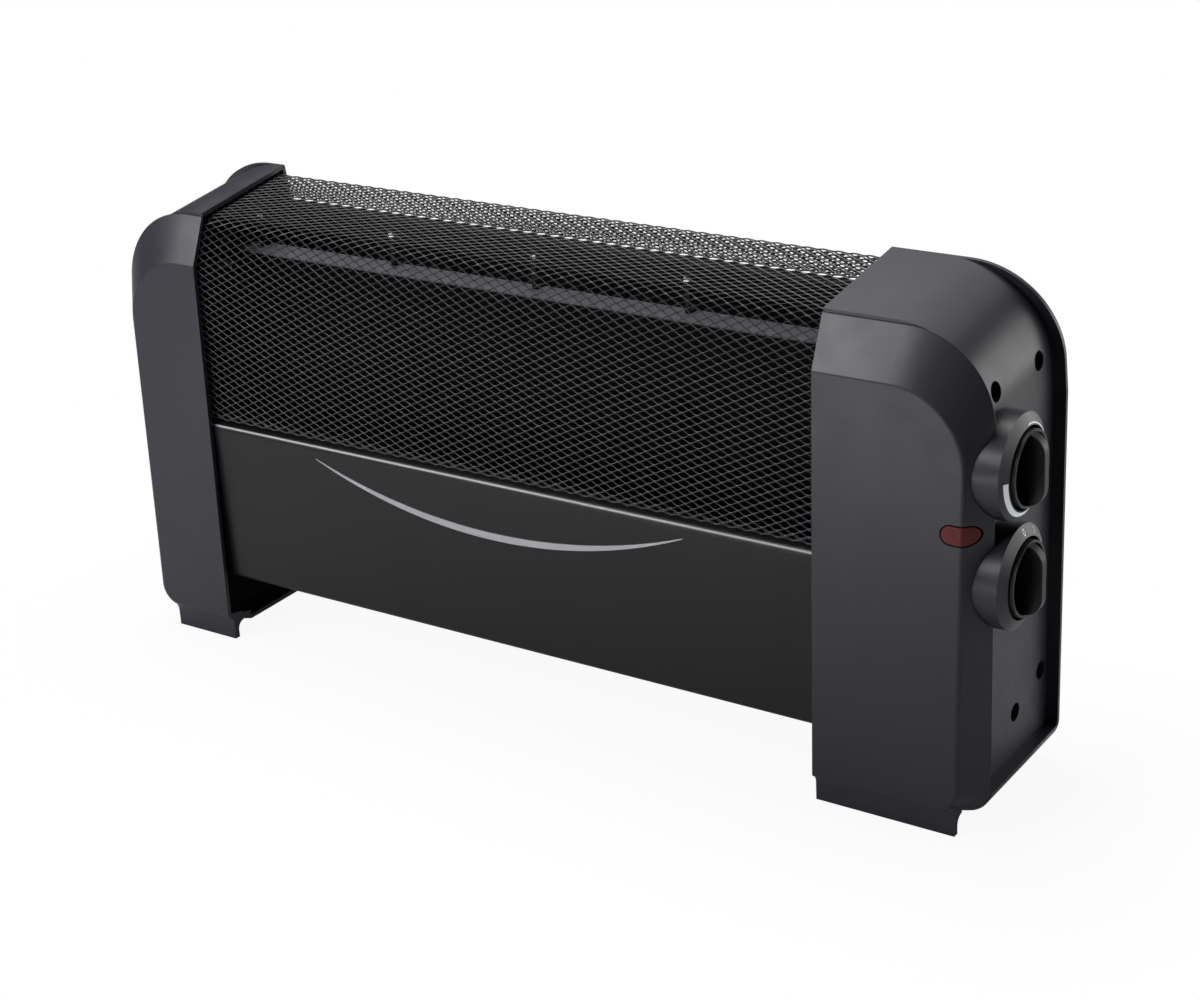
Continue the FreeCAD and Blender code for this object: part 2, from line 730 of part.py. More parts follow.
accent_z = panel_bottom + accent_low
accent_ends = accent_z + accent_rise


def accent_edge(offset, tip):
    """One edge of the crescent through its two tips and its middle."""
    left = Vec(body_middle - accent_half_length, panel_face, accent_ends + tip)
    right = Vec(body_middle + accent_half_length, panel_face, accent_ends + tip)
    return Part.Arc(left, Vec(body_middle, panel_face, accent_z + offset), right), left, right


upper, upper_left, upper_right = accent_edge(accent_width / 2, accent_tip / 2)
lower, lower_left, lower_right = accent_edge(-accent_width / 2, -accent_tip / 2)
accent_wire = Part.Wire([upper.toShape(), Part.LineSegment(upper_right, lower_right).toShape(),
                         lower.toShape(), Part.LineSegment(lower_left, upper_left).toShape()])
accent = Part.Face(accent_wire).extrude(Vec(0, -accent_thickness, 0))

export("front_panel", front_panel)
export("accent_strip", accent)
export("mesh_grille", grille)
export("rear_panel", rear_panel)
export("base_plate", base_plate)
export("left_end_plate", end_plate(plate_left))
export("right_end_plate", end_plate(sheet_right))

# Heating element

rod = rod_x(plate_left - rod_stub, plate_right + rod_tail, rod_axis, rod_height, rod_radius)
fin_half = fin_size / 2
hanger_stations = [body_middle + side * hanger_slots * base_slot_pitch for side in (-1, 1)]
fins = []
for index in range(fins_in_row):
    x = body_middle + (index - (fins_in_row - 1) / 2) * fin_pitch
    if min(abs(x - station) for station in hanger_stations) < fin_pitch / 2:
        continue
    blank = box(x, x + fin_thickness, rod_axis - fin_half, rod_axis + fin_half,
                rod_height - fin_half, rod_height + fin_half)
    fins.append(blank.cut(rod_x(x, x + fin_thickness, rod_axis, rod_height, rod_radius + running_fit)))


def bush(face, side):
    """Flanged ceramic bush that holds the rod in an end plate, flange outside."""
    outer = face + side * bush_lip
    inner = face - side * (plate + bush_lip)
    points = [(inner, rod_radius + running_fit), (outer, rod_radius + running_fit), (outer, bush_flange),
              (face, bush_flange), (face, bush_radius), (inner, bush_radius)]
    return turned(points, rod_axis, rod_height)


def hanger(x):
    """Sheet hanger that stands on the base plate and carries the rod."""
    top = rod_height + rod_radius + hanger_width / 4
    shape = box(x - plate / 2, x + plate / 2, rod_axis - hanger_width / 2, rod_axis + hanger_width / 2,
                base_z + sheet, top)
    return shape.cut(rod_x(x - plate, x + plate, rod_axis, rod_height, rod_radius + running_fit))


export("heating_rod", rod)
export("element_fins", Part.makeCompound(fins))
export("ceramic_bushes", Part.makeCompound([bush(plate_left, -1), bush(plate_right, 1)]))
export("element_hangers", Part.makeCompound([hanger(x) for x in hanger_stations]))

baffle_points = [(baffle_face, baffle_bottom), (baffle_face, baffle_top),
                 (baffle_face + baffle_lip, baffle_top)]
baffle = bent_sheet(baffle_points[::-1], sheet, bend, sheet_left, sheet_right, "X")
cutout_z = (baffle_bottom + baffle_top) / 2
cutout = rod_y(baffle_face - cutout_depth, baffle_face, body_middle + clip_spacing, cutout_z, cutout_radius)
for tab_side in (-1, 1):
    cutout = cutout.fuse(box(body_middle + clip_spacing - cutout_radius / 4,
                             body_middle + clip_spacing + cutout_radius / 4,
                             baffle_face - cutout_depth / 2, baffle_face,
                             cutout_z + min(0, tab_side) * cutout_tab_reach,
                             cutout_z + max(0, tab_side) * cutout_tab_reach))

export("baffle", baffle)
export("thermal_cutout", cutout.removeSplitter())


def grille_clip(x):
    """Bright U clip that hangs under the grille's top and hooks over the baffle's lip."""
    lip_end = baffle_face + baffle_lip
    low = baffle_top
    y0 = lip_end - clip_size
    mesh_line = mesh_top_front + top_slope * (y0 - parting) - mesh - fit
    stem = box(x - clip_width / 2, x + clip_width / 2, y0, y0 + plate, low, mesh_line)
    foot = box(x - clip_width / 2, x + clip_width / 2, y0, y0 + clip_size, low, low + plate)
    return stem.fuse(foot).removeSplitter()


clips = [grille_clip(body_middle + (i - (clip_count - 1) / 2) * clip_spacing) for i in range(clip_count)]
export("grille_clips", Part.makeCompound(clips))

# Controls

bracket_low = selector_height - switch_size / 2 - bracket_margin
bracket_high = upper_post_height - post_radius - bracket_gap
bracket_front = knob_axis - thermostat_size / 2 - plate
bracket_back = knob_axis + thermostat_size / 2 + plate
bracket_points = [(plate_right, bracket_low), (bracket_face, bracket_low),
                  (bracket_face, bracket_high), (plate_right, bracket_high)]
bracket = bent_sheet(bracket_points, plate, bend, bracket_front, bracket_back, "Y")
control_sizes = {"thermostat": thermostat_size, "selector": switch_size}
control_screws = []
bodies = {}
for name, height in knob_heights.items():
    half = control_sizes[name] / 2
    back = bracket_face - plate
    bracket = bracket.cut(rod_x(back, bracket_face, knob_axis, height, bushing_radius + screw_fit))
    body = box(back - control_body_depth, back, knob_axis - half, knob_axis + half,
               height - half, height + half)
    body = body.fuse(rod_x(back, bracket_face + plate * 2, knob_axis, height, bushing_radius))
    body = body.cut(rod_x(back - control_body_depth / 2, bracket_face + plate * 2, knob_axis, height,
                          shaft_radius + running_fit))
    for side in (-1, 1):
        y = knob_axis + side * half * control_screw_share
        bracket = bracket.cut(rod_x(back, bracket_face, y, height, screw_radius + screw_fit))
        body = body.cut(rod_x(back - screw_length, back, y, height, screw_radius + running_fit))
        shank = rod_x(bracket_face - screw_length, bracket_face, y, height, screw_radius)
        head = rod_x(bracket_face, bracket_face + screw_head, y, height, screw_head_radius)
        control_screws.append(shank.fuse(head).removeSplitter())
    bodies[name] = body

export("control_bracket", bracket)
export("thermostat_body", bodies["thermostat"])
export("selector_switch", bodies["selector"])
export("control_screws", Part.makeCompound(control_screws))


def shaft(z, grow):
    """Control shaft with a flat, from the control's middle into the hub of the knob."""
    start = bracket_face - plate - control_body_depth / 2 + fit
    end = right_side + knob_face - knob_dish - shaft_end_gap + grow
    shape = rod_x(start, end, knob_axis, z, shaft_radius + grow)
    flat_start = panel_side + knob_floor_gap
    return shape.cut(box(flat_start - grow, end, knob_axis - shaft_radius * 2, knob_axis + shaft_radius * 2,
                         z - shaft_radius * 2, z - shaft_radius + shaft_flat - grow))


def knob(z):
    """Dished knob with a thin rim and a waisted, round-ended grip bar across its hollow."""
    start = panel_side + knob_floor_gap
    face = right_side + knob_face
    floor = face - knob_dish
    end = right_side + knob_reach
    half = knob_radius - knob_rim / 2
    disc = rod_x(start, face, knob_axis, z, knob_radius)
    disc = disc.cut(rod_x(floor, face, knob_axis, z, knob_radius - knob_rim))
    place = lambda p: Vec(p[0], knob_axis - grip_end_width / 2, z + p[1])
    outline = [(floor, -half), (end, -half), (end, half), (floor, half)]
    edges = path_edges(outline, [grip_round, grip_round], place)
    edges.append(Part.LineSegment(place(outline[-1]), place(outline[0])).toShape())
    bar = Part.Face(Part.Wire(edges)).extrude(Vec(0, grip_end_width, 0))
    bow = (grip_end_width - grip_waist) / 2
    scoop_radius = (half ** 2 + bow ** 2) / (2 * bow)
    for side in (-1, 1):
        centre = knob_axis + side * (grip_waist / 2 + scoop_radius)
        bar = bar.cut(rod_x(floor, end, centre, z, scoop_radius))
    crest = [edge for edge in bar.Edges if within(edge, "X", end) and edge.BoundBox.ZLength > grip_waist]
    bar = bar.makeFillet(knob_fillet, crest).common(rod_x(floor, end, knob_axis, z, half))
    return disc.fuse(bar).removeSplitter().cut(shaft(z, running_fit))


for name, height in knob_heights.items():
    export(name + "_knob", knob(height))
    export(name + "_shaft", shaft(height, 0))

# Fasteners


def screw(seat, side, y, z, length):
    """Pan-head screw whose head rests on a seat and whose shank points into the body."""
    tip = seat - side * length
    outer = seat + side * screw_head
    shank = rod_x(min(tip, seat), max(tip, seat), y, z, screw_radius)
    head = rod_x(min(seat, outer), max(seat, outer), y, z, screw_head_radius)
    return shank.fuse(head).removeSplitter()


left_screws = [screw(plate_left - post_floor, -1, y, z, screw_length) for y, z in cap_screw_points]
right_screws = [screw(plate_right + post_floor, 1, y, z, screw_length) for y, z in cap_screw_points]
panel_screws = [screw(plate_left, -1, y, z, screw_length / 2) for y, z in panel_screw_points]
panel_screws += [screw(plate_right, 1, y, z, screw_length / 2) for y, z in panel_screw_points]
export("left_cap_screws", Part.makeCompound(left_screws))
export("right_cap_screws", Part.makeCompound(right_screws))
export("panel_screws", Part.makeCompound(panel_screws))

# Wiring in the control end

terminal_y = rod_axis - terminal_length / 2
terminal = box(plate_right, plate_right + terminal_depth, terminal_y, terminal_y + terminal_length,
               terminal_z - terminal_width / 2, terminal_z + terminal_width / 2)
tilt_z = selector_height - switch_size / 2 - bracket_margin - tilt_height
tilt_y = panel_face + panel_flange
tilt = box(plate_right, plate_right + tilt_size, tilt_y, tilt_y + tilt_size,
           tilt_z, tilt_z + tilt_height - fit)
gland_outer = gland_face - gland_recess
gland_inner = gland_face - wall
gland = rod_y(gland_inner - wall * 2, gland_outer, gland_axis, gland_height, gland_radius - running_fit)
gland = gland.fuse(rod_y(gland_inner - wall, gland_inner, gland_axis, gland_height, gland_flange))
gland = gland.cut(rod_y(gland_inner - wall * 3, gland_outer, gland_axis, gland_height, gland_bore))

export("terminal_block", terminal)
export("tilt_switch", tilt)
export("cord_gland", gland.removeSplitter())


def lead(points):
    """Insulated wire along straight runs joined by tangent arcs."""
    edges = []
    start = points[0]
    for before, corner, after in zip(points, points[1:], points[2:]):
        first = (corner - before).normalize()
        second = (after - corner).normalize()
        half = first.getAngle(second) / 2
        run = lead_bend * math.tan(half)
        bow = lead_bend / math.cos(half) - lead_bend
        inward = (second - first).normalize()
        enter = corner - first * run
        leave = corner + second * run
        edges.append(Part.LineSegment(start, enter).toShape())
        edges.append(Part.Arc(enter, corner + inward * bow, leave).toShape())
        start = leave
    edges.append(Part.LineSegment(start, points[-1]).toShape())
    path = Part.Wire(edges)
    section = Part.Wire(Part.makeCircle(lead_radius, points[0], points[1] - points[0]))
    return path.makePipeShell([section], True, False)


lead_x = bracket_face - plate - control_body_depth * lead_exit_share
terminal_front = plate_right + terminal_depth
lead_y = knob_axis + thermostat_size / 2 + lead_bend + lead_radius


def control_lead(z, half, y):
    """Lead from the side of a control down to the terminal block."""
    return lead([Vec(lead_x, knob_axis + half, z), Vec(lead_x, y, z), Vec(lead_x, y, terminal_z),
                 Vec(terminal_front, y, terminal_z)])


rod_end = plate_right + rod_tail
leads = [
    control_lead(thermostat_height, thermostat_size / 2, lead_y + lead_bend),
    control_lead(selector_height, switch_size / 2, lead_y),
    lead([Vec(rod_end, rod_axis, rod_height), Vec(rod_end + 2 * lead_bend, rod_axis, rod_height),
          Vec(rod_end + 2 * lead_bend, rod_axis, terminal_z), Vec(terminal_front, rod_axis, terminal_z)]),
]
export("internal_leads", Part.makeCompound(leads))
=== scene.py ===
import json
import math

import bpy
import numpy as np
from bpy.props import FloatProperty, FloatVectorProperty, PointerProperty
from mathutils import Matrix, Vector


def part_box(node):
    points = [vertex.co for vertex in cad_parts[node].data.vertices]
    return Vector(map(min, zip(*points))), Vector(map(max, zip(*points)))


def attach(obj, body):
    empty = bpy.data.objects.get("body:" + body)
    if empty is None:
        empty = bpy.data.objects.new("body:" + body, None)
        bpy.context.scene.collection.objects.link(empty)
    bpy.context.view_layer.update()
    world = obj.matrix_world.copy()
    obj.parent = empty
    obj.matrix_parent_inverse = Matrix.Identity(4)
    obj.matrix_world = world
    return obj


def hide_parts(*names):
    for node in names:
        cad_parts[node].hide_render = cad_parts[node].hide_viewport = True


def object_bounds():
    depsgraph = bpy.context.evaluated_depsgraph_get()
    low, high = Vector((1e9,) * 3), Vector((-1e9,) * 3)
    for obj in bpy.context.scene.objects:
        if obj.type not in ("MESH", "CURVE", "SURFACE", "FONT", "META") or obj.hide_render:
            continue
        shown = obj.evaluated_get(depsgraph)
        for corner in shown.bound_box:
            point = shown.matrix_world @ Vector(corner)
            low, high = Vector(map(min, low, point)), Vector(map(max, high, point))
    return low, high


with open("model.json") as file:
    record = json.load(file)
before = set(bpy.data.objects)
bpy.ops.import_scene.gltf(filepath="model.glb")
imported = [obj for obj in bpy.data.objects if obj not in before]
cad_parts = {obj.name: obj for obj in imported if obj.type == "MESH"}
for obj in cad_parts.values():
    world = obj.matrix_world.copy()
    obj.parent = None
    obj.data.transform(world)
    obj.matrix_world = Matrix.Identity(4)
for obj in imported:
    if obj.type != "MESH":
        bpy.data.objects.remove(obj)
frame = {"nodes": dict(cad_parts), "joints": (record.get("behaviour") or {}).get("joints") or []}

bl_info = {
    "name": "Baseboard heater looks",
    "version": (1, 0, 0),
    "blender": (4, 5, 0),
    "location": "3D View > Sidebar > Heater",
    "description": "Finishes, grille, dial marks and stage of a portable baseboard heater",
    "category": "Object",
}

NODES = frame["nodes"]
CAD_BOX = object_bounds()

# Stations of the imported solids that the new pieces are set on
GRILLE_LOW, GRILLE_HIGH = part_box("mesh_grille")
JOINT = {joint["name"]: joint for joint in frame["joints"]}

# Finishes: where one tone blends into the next, in metres
RIM_BLEND = (0.0001, 0.0003)    # outwards from the inside of a knob's rim
CREST_BLEND = (0.0010, 0.0030)  # outwards from the face of a knob's rim
CLIP_BLEND = (0.0008, 0.0014)   # away from the middle of a clip's painted glint band
CLIP_BAND = 0.6                 # middle of that band, as a share of the clips' height

# Finishes: parts of the surface's normal over which painted highlights and the knobs' painted shade blend in
OUTWARD_BLEND = (0.35, 0.75)
UPWARD_BLEND = (0.15, 0.65)
EDGE_HIGHLIGHT_START = (0.50, 0.62)
EDGE_HIGHLIGHT_END = (0.70, 0.80)
TOP_HIGHLIGHT_SHARE = 0.32                 # share of the painted highlight that is left at the top

# Grille: points in each bend of its section
BEND_STEPS = 9

# Dial marks: turns from the top in degrees, and widths as shares of a figure's height
SCALE_SWEEP = 270
FIGURE_1_TURN = 29
FIGURE_2_TURN = 60
RING_HALF_WIDTH = 0.32
RING_HOLE = 0.62                # inner outline of the 0, as a share of its outer one
BAR_WIDTH = 0.16
BAR_OFFSET = 0.22               # each bar of the II off its middle

# Camera: its right, up and back directions and its place, fitted to the photograph
CAMERA_RIGHT = (0.83281, 0.55111, -0.05203)
CAMERA_UP = (-0.17700, 0.35418, 0.91827)
CAMERA_BACK = (0.5245, -0.75554, 0.39252)
CAMERA_PLACE = (0.6904, -0.9690, 0.6217)
SENSOR_WIDTH = 36.0             # in millimetres

# Softboxes: place from the heater's middle, then width and height
STAGE_MIDDLE = Vector((-0.02, 0.0, 0.13))
SOFTBOXES = {
    "key": ((-0.66, -0.98, 0.70), (0.8, 0.5)),
    "rear": ((0.77, 0.92, 0.16), (0.7, 0.6)),
    "back": ((0.0, 0.45, 0.77), (1.2, 0.7)),
    "left": ((-0.40, 0.15, 0.95), (0.7, 0.7)),
    "side": ((0.95, 0.35, 0.10), (0.4, 0.6)),
}
WASH_PLACE = Vector((-0.15, -0.78, 0.30))
WASH_SIZE = (0.7, 0.3)
WASH_SPREAD = 70                # in degrees

# Floor and room: shares of white, and the distances from the heater's box over which they change
FLOOR_GREY = (0.55, 0.55, 0.55, 1.0)
SHADOW_WHITE = (0.93, 1.0)
SHADOW_REACH = (0.0, 0.12)
POOL_WHITE = (0.02, 0.30)       # as reflections see the floor
POOL_REACH = (0.20, 0.44)
POOL_FADE = (1.0, 0.15)         # from the left to the right
POOL_FADE_X = (0.10, 0.40)
ROOM_GLOSS = 0.05               # white of the room as reflections see it


def colour_prop(name, description, default):
    """A linear colour that the panel can change."""
    return FloatVectorProperty(name=name, description=description, default=default, subtype="COLOR",
                               min=0.0, max=1.0)


def length_prop(name, description, default):
    """A length in metres that the panel can change."""
    return FloatProperty(name=name, description=description, default=default, unit="LENGTH", min=0.0)


def power_prop(name, description, default):
    """A lamp's power in watts that the panel can change."""
    return FloatProperty(name=name, description=description, default=default, unit="POWER")


class HeaterGrilleSizes(bpy.types.PropertyGroup):
    """Sizes of the expanded-metal grille."""
    long_pitch: length_prop("Long pitch", "Diamond length along the heater", 0.00887)
    short_pitch: length_prop("Short pitch", "Diamond height across the heater", 0.00449)
    strand_width: length_prop("Strand width", "Width of one leaning strand", 0.00055)
    strand_thickness: length_prop("Strand thickness", "Thickness of the stretched sheet", 0.00058)
    strand_tilt: FloatProperty(name="Strand tilt", description="Lean of a strand out of the face of the mesh",
                               default=math.radians(-25), subtype="ANGLE")
    bond_share: FloatProperty(name="Bond share", description="Part of a pitch where two strands stay joined",
                              default=0.15, min=0.02, max=0.4, subtype="FACTOR")
    bond_overlap: FloatProperty(name="Bond overlap",
                                description="Half the step between two joined strands, in widths",
                                default=0.42, min=0.1, max=0.5, subtype="FACTOR")
    hem_height: length_prop("Hem height", "Hem folded up behind the front's lower edge", 0.0052)
    skirt_hem: length_prop("Skirt hem", "Hem folded up inside the rear skirt", 0.0125)
    hem_depth: length_prop("Hem depth", "Hems inside the face of the mesh", 0.0014)
    hem_radius: length_prop("Hem radius", "Radius of the hems' bends", 0.0006)
    front_height: length_prop("Front height", "Upright front of the grille", 0.0930)
    bevel_depth: length_prop("Bevel depth", "Sloping part, front to rear", 0.0108)
    bevel_rise: length_prop("Bevel rise", "Sloping part, bottom to top", 0.0243)
    skirt_lean: length_prop("Skirt lean", "Lean of the rear skirt", 0.0026)
    skirt_drop: length_prop("Skirt drop", "Height of the rear skirt", 0.0156)
    crease_radius: length_prop("Crease radius", "Bend from the front to the slope", 0.0300)
    brow_radius: length_prop("Brow radius", "Bend from the slope to the top", 0.0120)
    skirt_radius: length_prop("Skirt radius", "Bend from the top to the rear skirt", 0.0030)
    sheet_depth: length_prop("Sheet depth", "Middle of the strands inside the solid's face", 0.0006)


class HeaterDialSizes(bpy.types.PropertyGroup):
    """Sizes of the printed marks on the two bezels."""
    bezel_outer: length_prop("Bezel outer radius", "Outer edge of the sloping bezel", 0.0266)
    bezel_inner: length_prop("Bezel inner radius", "Inner edge of the sloping bezel", 0.0208)
    bezel_edge: length_prop("Bezel edge", "Outer edge of the bezel past the cap's side", 0.0055)
    bezel_peak: length_prop("Bezel peak", "Inner edge of the bezel past the cap's side", 0.0086)
    scale_radius: length_prop("Scale radius", "Inner edge of the heat scale", 0.0214)
    scale_thin: length_prop("Scale start", "Width of the heat scale at its cold end", 0.0005)
    scale_thick: length_prop("Scale end", "Width of the heat scale at its hot end", 0.0027)
    figure_radius: length_prop("Figure radius", "Middle of the selector's figures", 0.0236)
    figure_height: length_prop("Figure height", "Height of the selector's figures", 0.0034)
    ink: length_prop("Ink", "Height of the print above the bezel", 0.00006)
    rim_width: length_prop("Rim width", "Width of the knobs' raised rim", 0.0014)
    rim_reach: length_prop("Rim reach", "Knob rim past the cap's side", 0.0105)


class HeaterFinishes(bpy.types.PropertyGroup):
    """Colours of the finishes."""
    cap: colour_prop("Caps", "Satin charcoal moulding", (0.0180, 0.0176, 0.0240))
    panel: colour_prop("Panels", "Black powder coat", (0.0050, 0.0049, 0.0058))
    grille: colour_prop("Grille", "Black coat of the mesh", (0.006, 0.006, 0.007))
    # colour of the painted highlight on the mesh's upward faces and on the baffle's top edge
    grille_painted_highlight: colour_prop("Grille edges", "Dusty upper edges of the mesh", (0.080, 0.080, 0.087))
    accent: colour_prop("Accent", "Satin silver", (0.34, 0.34, 0.36))
    knob: colour_prop("Knob rim", "Satin charcoal of the knobs' rims", (0.0200, 0.0200, 0.0220))
    # black of painted shade in the knobs' dish and on the grip's sides
    knob_painted_shade: colour_prop("Knob well", "Black of the knobs' dish and grip", (0.0025, 0.0025, 0.0032))
    mark: colour_prop("Marks", "Bluish white print", (0.90, 0.94, 0.98))
    lens: colour_prop("Lens", "Dark red lamp window", (0.080, 0.0055, 0.0055))
    steel: colour_prop("Steel", "Zinc-plated steel", (0.52, 0.52, 0.54))
    element: colour_prop("Element", "Heat-tinted rod", (0.26, 0.24, 0.23))
    aluminium: colour_prop("Aluminium", "Mill finish", (0.66, 0.66, 0.67))
    ceramic: colour_prop("Ceramic", "Glazed off-white", (0.80, 0.78, 0.72))
    control: colour_prop("Controls", "Cream moulding", (0.74, 0.71, 0.63))
    lamp: colour_prop("Lamp", "Orange gas in glass", (0.80, 0.36, 0.16))
    lead: colour_prop("Leads", "Red insulation", (0.42, 0.05, 0.04))
    gland: colour_prop("Gland", "Black rubber", (0.025, 0.025, 0.026))


class HeaterStage(bpy.types.PropertyGroup):
    """Camera, floor and lamps."""
    lens: FloatProperty(name="Lens", description="Focal length on a 36 mm wide sensor", default=70.95,
                        unit="CAMERA")
    floor_size: length_prop("Floor size", "Side of the square floor", 12.0)
    key_power: power_prop("Key", "Softbox at the left front", 19.0)
    rear_power: power_prop("Rear", "Softbox at the right rear", 4.2)
    back_power: power_prop("Back", "Softbox above the rear", 4.4)
    left_power: power_prop("Left", "Softbox above the left end", 11.0)
    side_power: power_prop("Side", "Softbox beside the controls", 2.2)
    wash_power: power_prop("Wash", "Low softbox that lights the floor in front", 13.0)
    fill: FloatProperty(name="Fill", description="Brightness of the room's own light", default=0.0)


# Materials


def start_material(name):
    """A node material with one Principled shader joined to its output."""
    material = bpy.data.materials.new(name)
    material.use_nodes = True
    tree = material.node_tree
    tree.nodes.clear()
    output = tree.nodes.new("ShaderNodeOutputMaterial")
    shader = tree.nodes.new("ShaderNodeBsdfPrincipled")
    tree.links.new(shader.outputs["BSDF"], output.inputs["Surface"])
    return material, tree, shader


def object_points(tree, stretch=(1.0, 1.0, 1.0)):
    """Object coordinates, stretched along each axis."""
    place = tree.nodes.new("ShaderNodeTexCoord")
    mapping = tree.nodes.new("ShaderNodeMapping")
    mapping.inputs["Scale"].default_value = stretch
    tree.links.new(place.outputs["Object"], mapping.inputs["Vector"])
    return mapping.outputs["Vector"]


def parts_of(tree, vector):
    """The X, Y and Z outputs of a vector."""
    node = tree.nodes.new("ShaderNodeSeparateXYZ")
    tree.links.new(vector, node.inputs["Vector"])
    return node.outputs


def facing(tree):
    """The X, Y and Z of the way that the surface faces."""
    return parts_of(tree, tree.nodes.new("ShaderNodeNewGeometry").outputs["Normal"])


def noise(tree, size, detail=3.0, stretch=(1.0, 1.0, 1.0)):
    """Noise whose lumps are about the given size in metres."""
    texture = tree.nodes.new("ShaderNodeTexNoise")
    texture.inputs["Scale"].default_value = 1.0 / size
    texture.inputs["Detail"].default_value = detail
    tree.links.new(object_points(tree, stretch), texture.inputs["Vector"])
    return texture.outputs["Fac"]


def ranged(tree, source, low, high, start=0.3, end=0.7):
    """A value spread between low and high as the source goes from start to end."""
    node = tree.nodes.new("ShaderNodeMapRange")
    node.inputs["From Min"].default_value = start
    node.inputs["From Max"].default_value = end
    node.inputs["To Min"].default_value = low
    node.inputs["To Max"].default_value = high
    tree.links.new(source, node.inputs["Value"])
    return node.outputs["Result"]


def between(tree, source, first, second):
    """A colour from first to second as the source goes from 0 to 1."""
    node = tree.nodes.new("ShaderNodeMix")
    node.data_type = "RGBA"
    for socket, value in ((node.inputs[6], first), (node.inputs[7], second)):
        if isinstance(value, bpy.types.NodeSocket):
            tree.links.new(value, socket)
        else:
            socket.default_value = (*value, 1.0)
    tree.links.new(source, node.inputs[0])
    return node.outputs[2]


def shaded(colour, factor):
    """The colour made lighter or darker, kept between 0 and 1."""
    return tuple(min(1.0, channel * factor) for channel in colour)


def grain(tree, shader, source, depth, strength):
    """Fine relief on the surface."""
    node = tree.nodes.new("ShaderNodeBump")
    node.inputs["Distance"].default_value = depth
    node.inputs["Strength"].default_value = strength
    tree.links.new(source, node.inputs["Height"])
    tree.links.new(node.outputs["Normal"], shader.inputs["Normal"])


def finish(name, colour, rough, spread=0.06, cloud=0.03, fine=0.0006, depth=0.00002, strength=0.15,
           stretch=(1.0, 1.0, 1.0), **sockets):
    """A finish whose colour drifts in clouds, whose gloss varies, and whose surface has a fine grain."""
    material, tree, shader = start_material(name)
    clouds = ranged(tree, noise(tree, cloud, 4.0, stretch), 0.0, 1.0)
    tint = between(tree, clouds, shaded(colour, 1 - spread), shaded(colour, 1 + spread))
    tree.links.new(tint, shader.inputs["Base Color"])
    tree.links.new(ranged(tree, noise(tree, cloud * 0.37, 3.0, stretch), rough[0], rough[1]),
                   shader.inputs["Roughness"])
    grain(tree, shader, noise(tree, fine, 2.0, stretch), depth, strength)
    for socket, value in sockets.items():
        shader.inputs[socket.replace("_", " ")].default_value = value
    return material


def worked(tree, operation, first, second):
    """Two values put together by one arithmetic step."""
    node = tree.nodes.new("ShaderNodeMath")
    node.operation = operation
    for socket, value in zip(node.inputs, (first, second)):
        if isinstance(value, bpy.types.NodeSocket):
            tree.links.new(value, socket)
        else:
            socket.default_value = value
    return node.outputs["Value"]


def knob_finish(name, rim, well, axis, radius, sizes):
    """Charcoal rim and grip crest round a hollow and grip sides made black as painted shade: the distance
    from the axis picks the rim, and the height and the way the surface faces pick the crest."""
    material, tree, shader = start_material(name)
    place = parts_of(tree, object_points(tree))
    flat = tree.nodes.new("ShaderNodeCombineXYZ")
    tree.links.new(place["Y"], flat.inputs["Y"])
    tree.links.new(place["Z"], flat.inputs["Z"])
    reach = tree.nodes.new("ShaderNodeVectorMath")
    reach.operation = "DISTANCE"
    tree.links.new(flat.outputs["Vector"], reach.inputs[0])
    reach.inputs[1].default_value = (0.0, axis[1], axis[2])
    inside = radius - sizes.rim_width
    ring = ranged(tree, reach.outputs["Value"], 0.0, 1.0, *(inside + edge for edge in RIM_BLEND))
    face = axis[0] + sizes.rim_reach
    raised = ranged(tree, place["X"], 0.0, 1.0, *(face + edge for edge in CREST_BLEND))
    outward = ranged(tree, facing(tree)["X"], 0.0, 1.0, *OUTWARD_BLEND)
    # black painted shade everywhere but the rim and the raised, outward-facing crest
    pale = worked(tree, "MAXIMUM", ring, worked(tree, "MULTIPLY", raised, outward))
    clouds = ranged(tree, noise(tree, 0.006, 3.0), 0.0, 1.0)
    charcoal = between(tree, clouds, shaded(rim, 0.93), shaded(rim, 1.07))
    tree.links.new(between(tree, pale, well, charcoal), shader.inputs["Base Color"])
    tree.links.new(ranged(tree, noise(tree, 0.004, 3.0), 0.38, 0.48), shader.inputs["Roughness"])
    grain(tree, shader, noise(tree, 0.0006, 2.0), 0.00002, 0.15)
    shader.inputs["Specular IOR Level"].default_value = 0.22
    return material


def upward_painted_highlight_finish(name, coat, highlight_colour, brow, top, gloss):
    """Black coat with a painted highlight on the faces that face up: the normal's height picks the painted
    highlight, which thins from the brow to the top."""
    material, tree, shader = start_material(name)
    upward = ranged(tree, facing(tree)["Z"], 0.0, 1.0, *UPWARD_BLEND)
    clouds = ranged(tree, noise(tree, 0.010, 3.0), 0.0, 1.0)
    highlight_clouds = between(tree, clouds, shaded(highlight_colour, 0.88), shaded(highlight_colour, 1.12))
    height = parts_of(tree, object_points(tree))["Z"]
    highlight_share = worked(tree, "MULTIPLY", upward, ranged(tree, height, 1.0, TOP_HIGHLIGHT_SHARE, brow, top))
    tree.links.new(between(tree, highlight_share, coat, highlight_clouds), shader.inputs["Base Color"])
    tree.links.new(ranged(tree, noise(tree, 0.004, 3.0), 0.34, 0.46), shader.inputs["Roughness"])
    shader.inputs["Specular IOR Level"].default_value = gloss
    return material


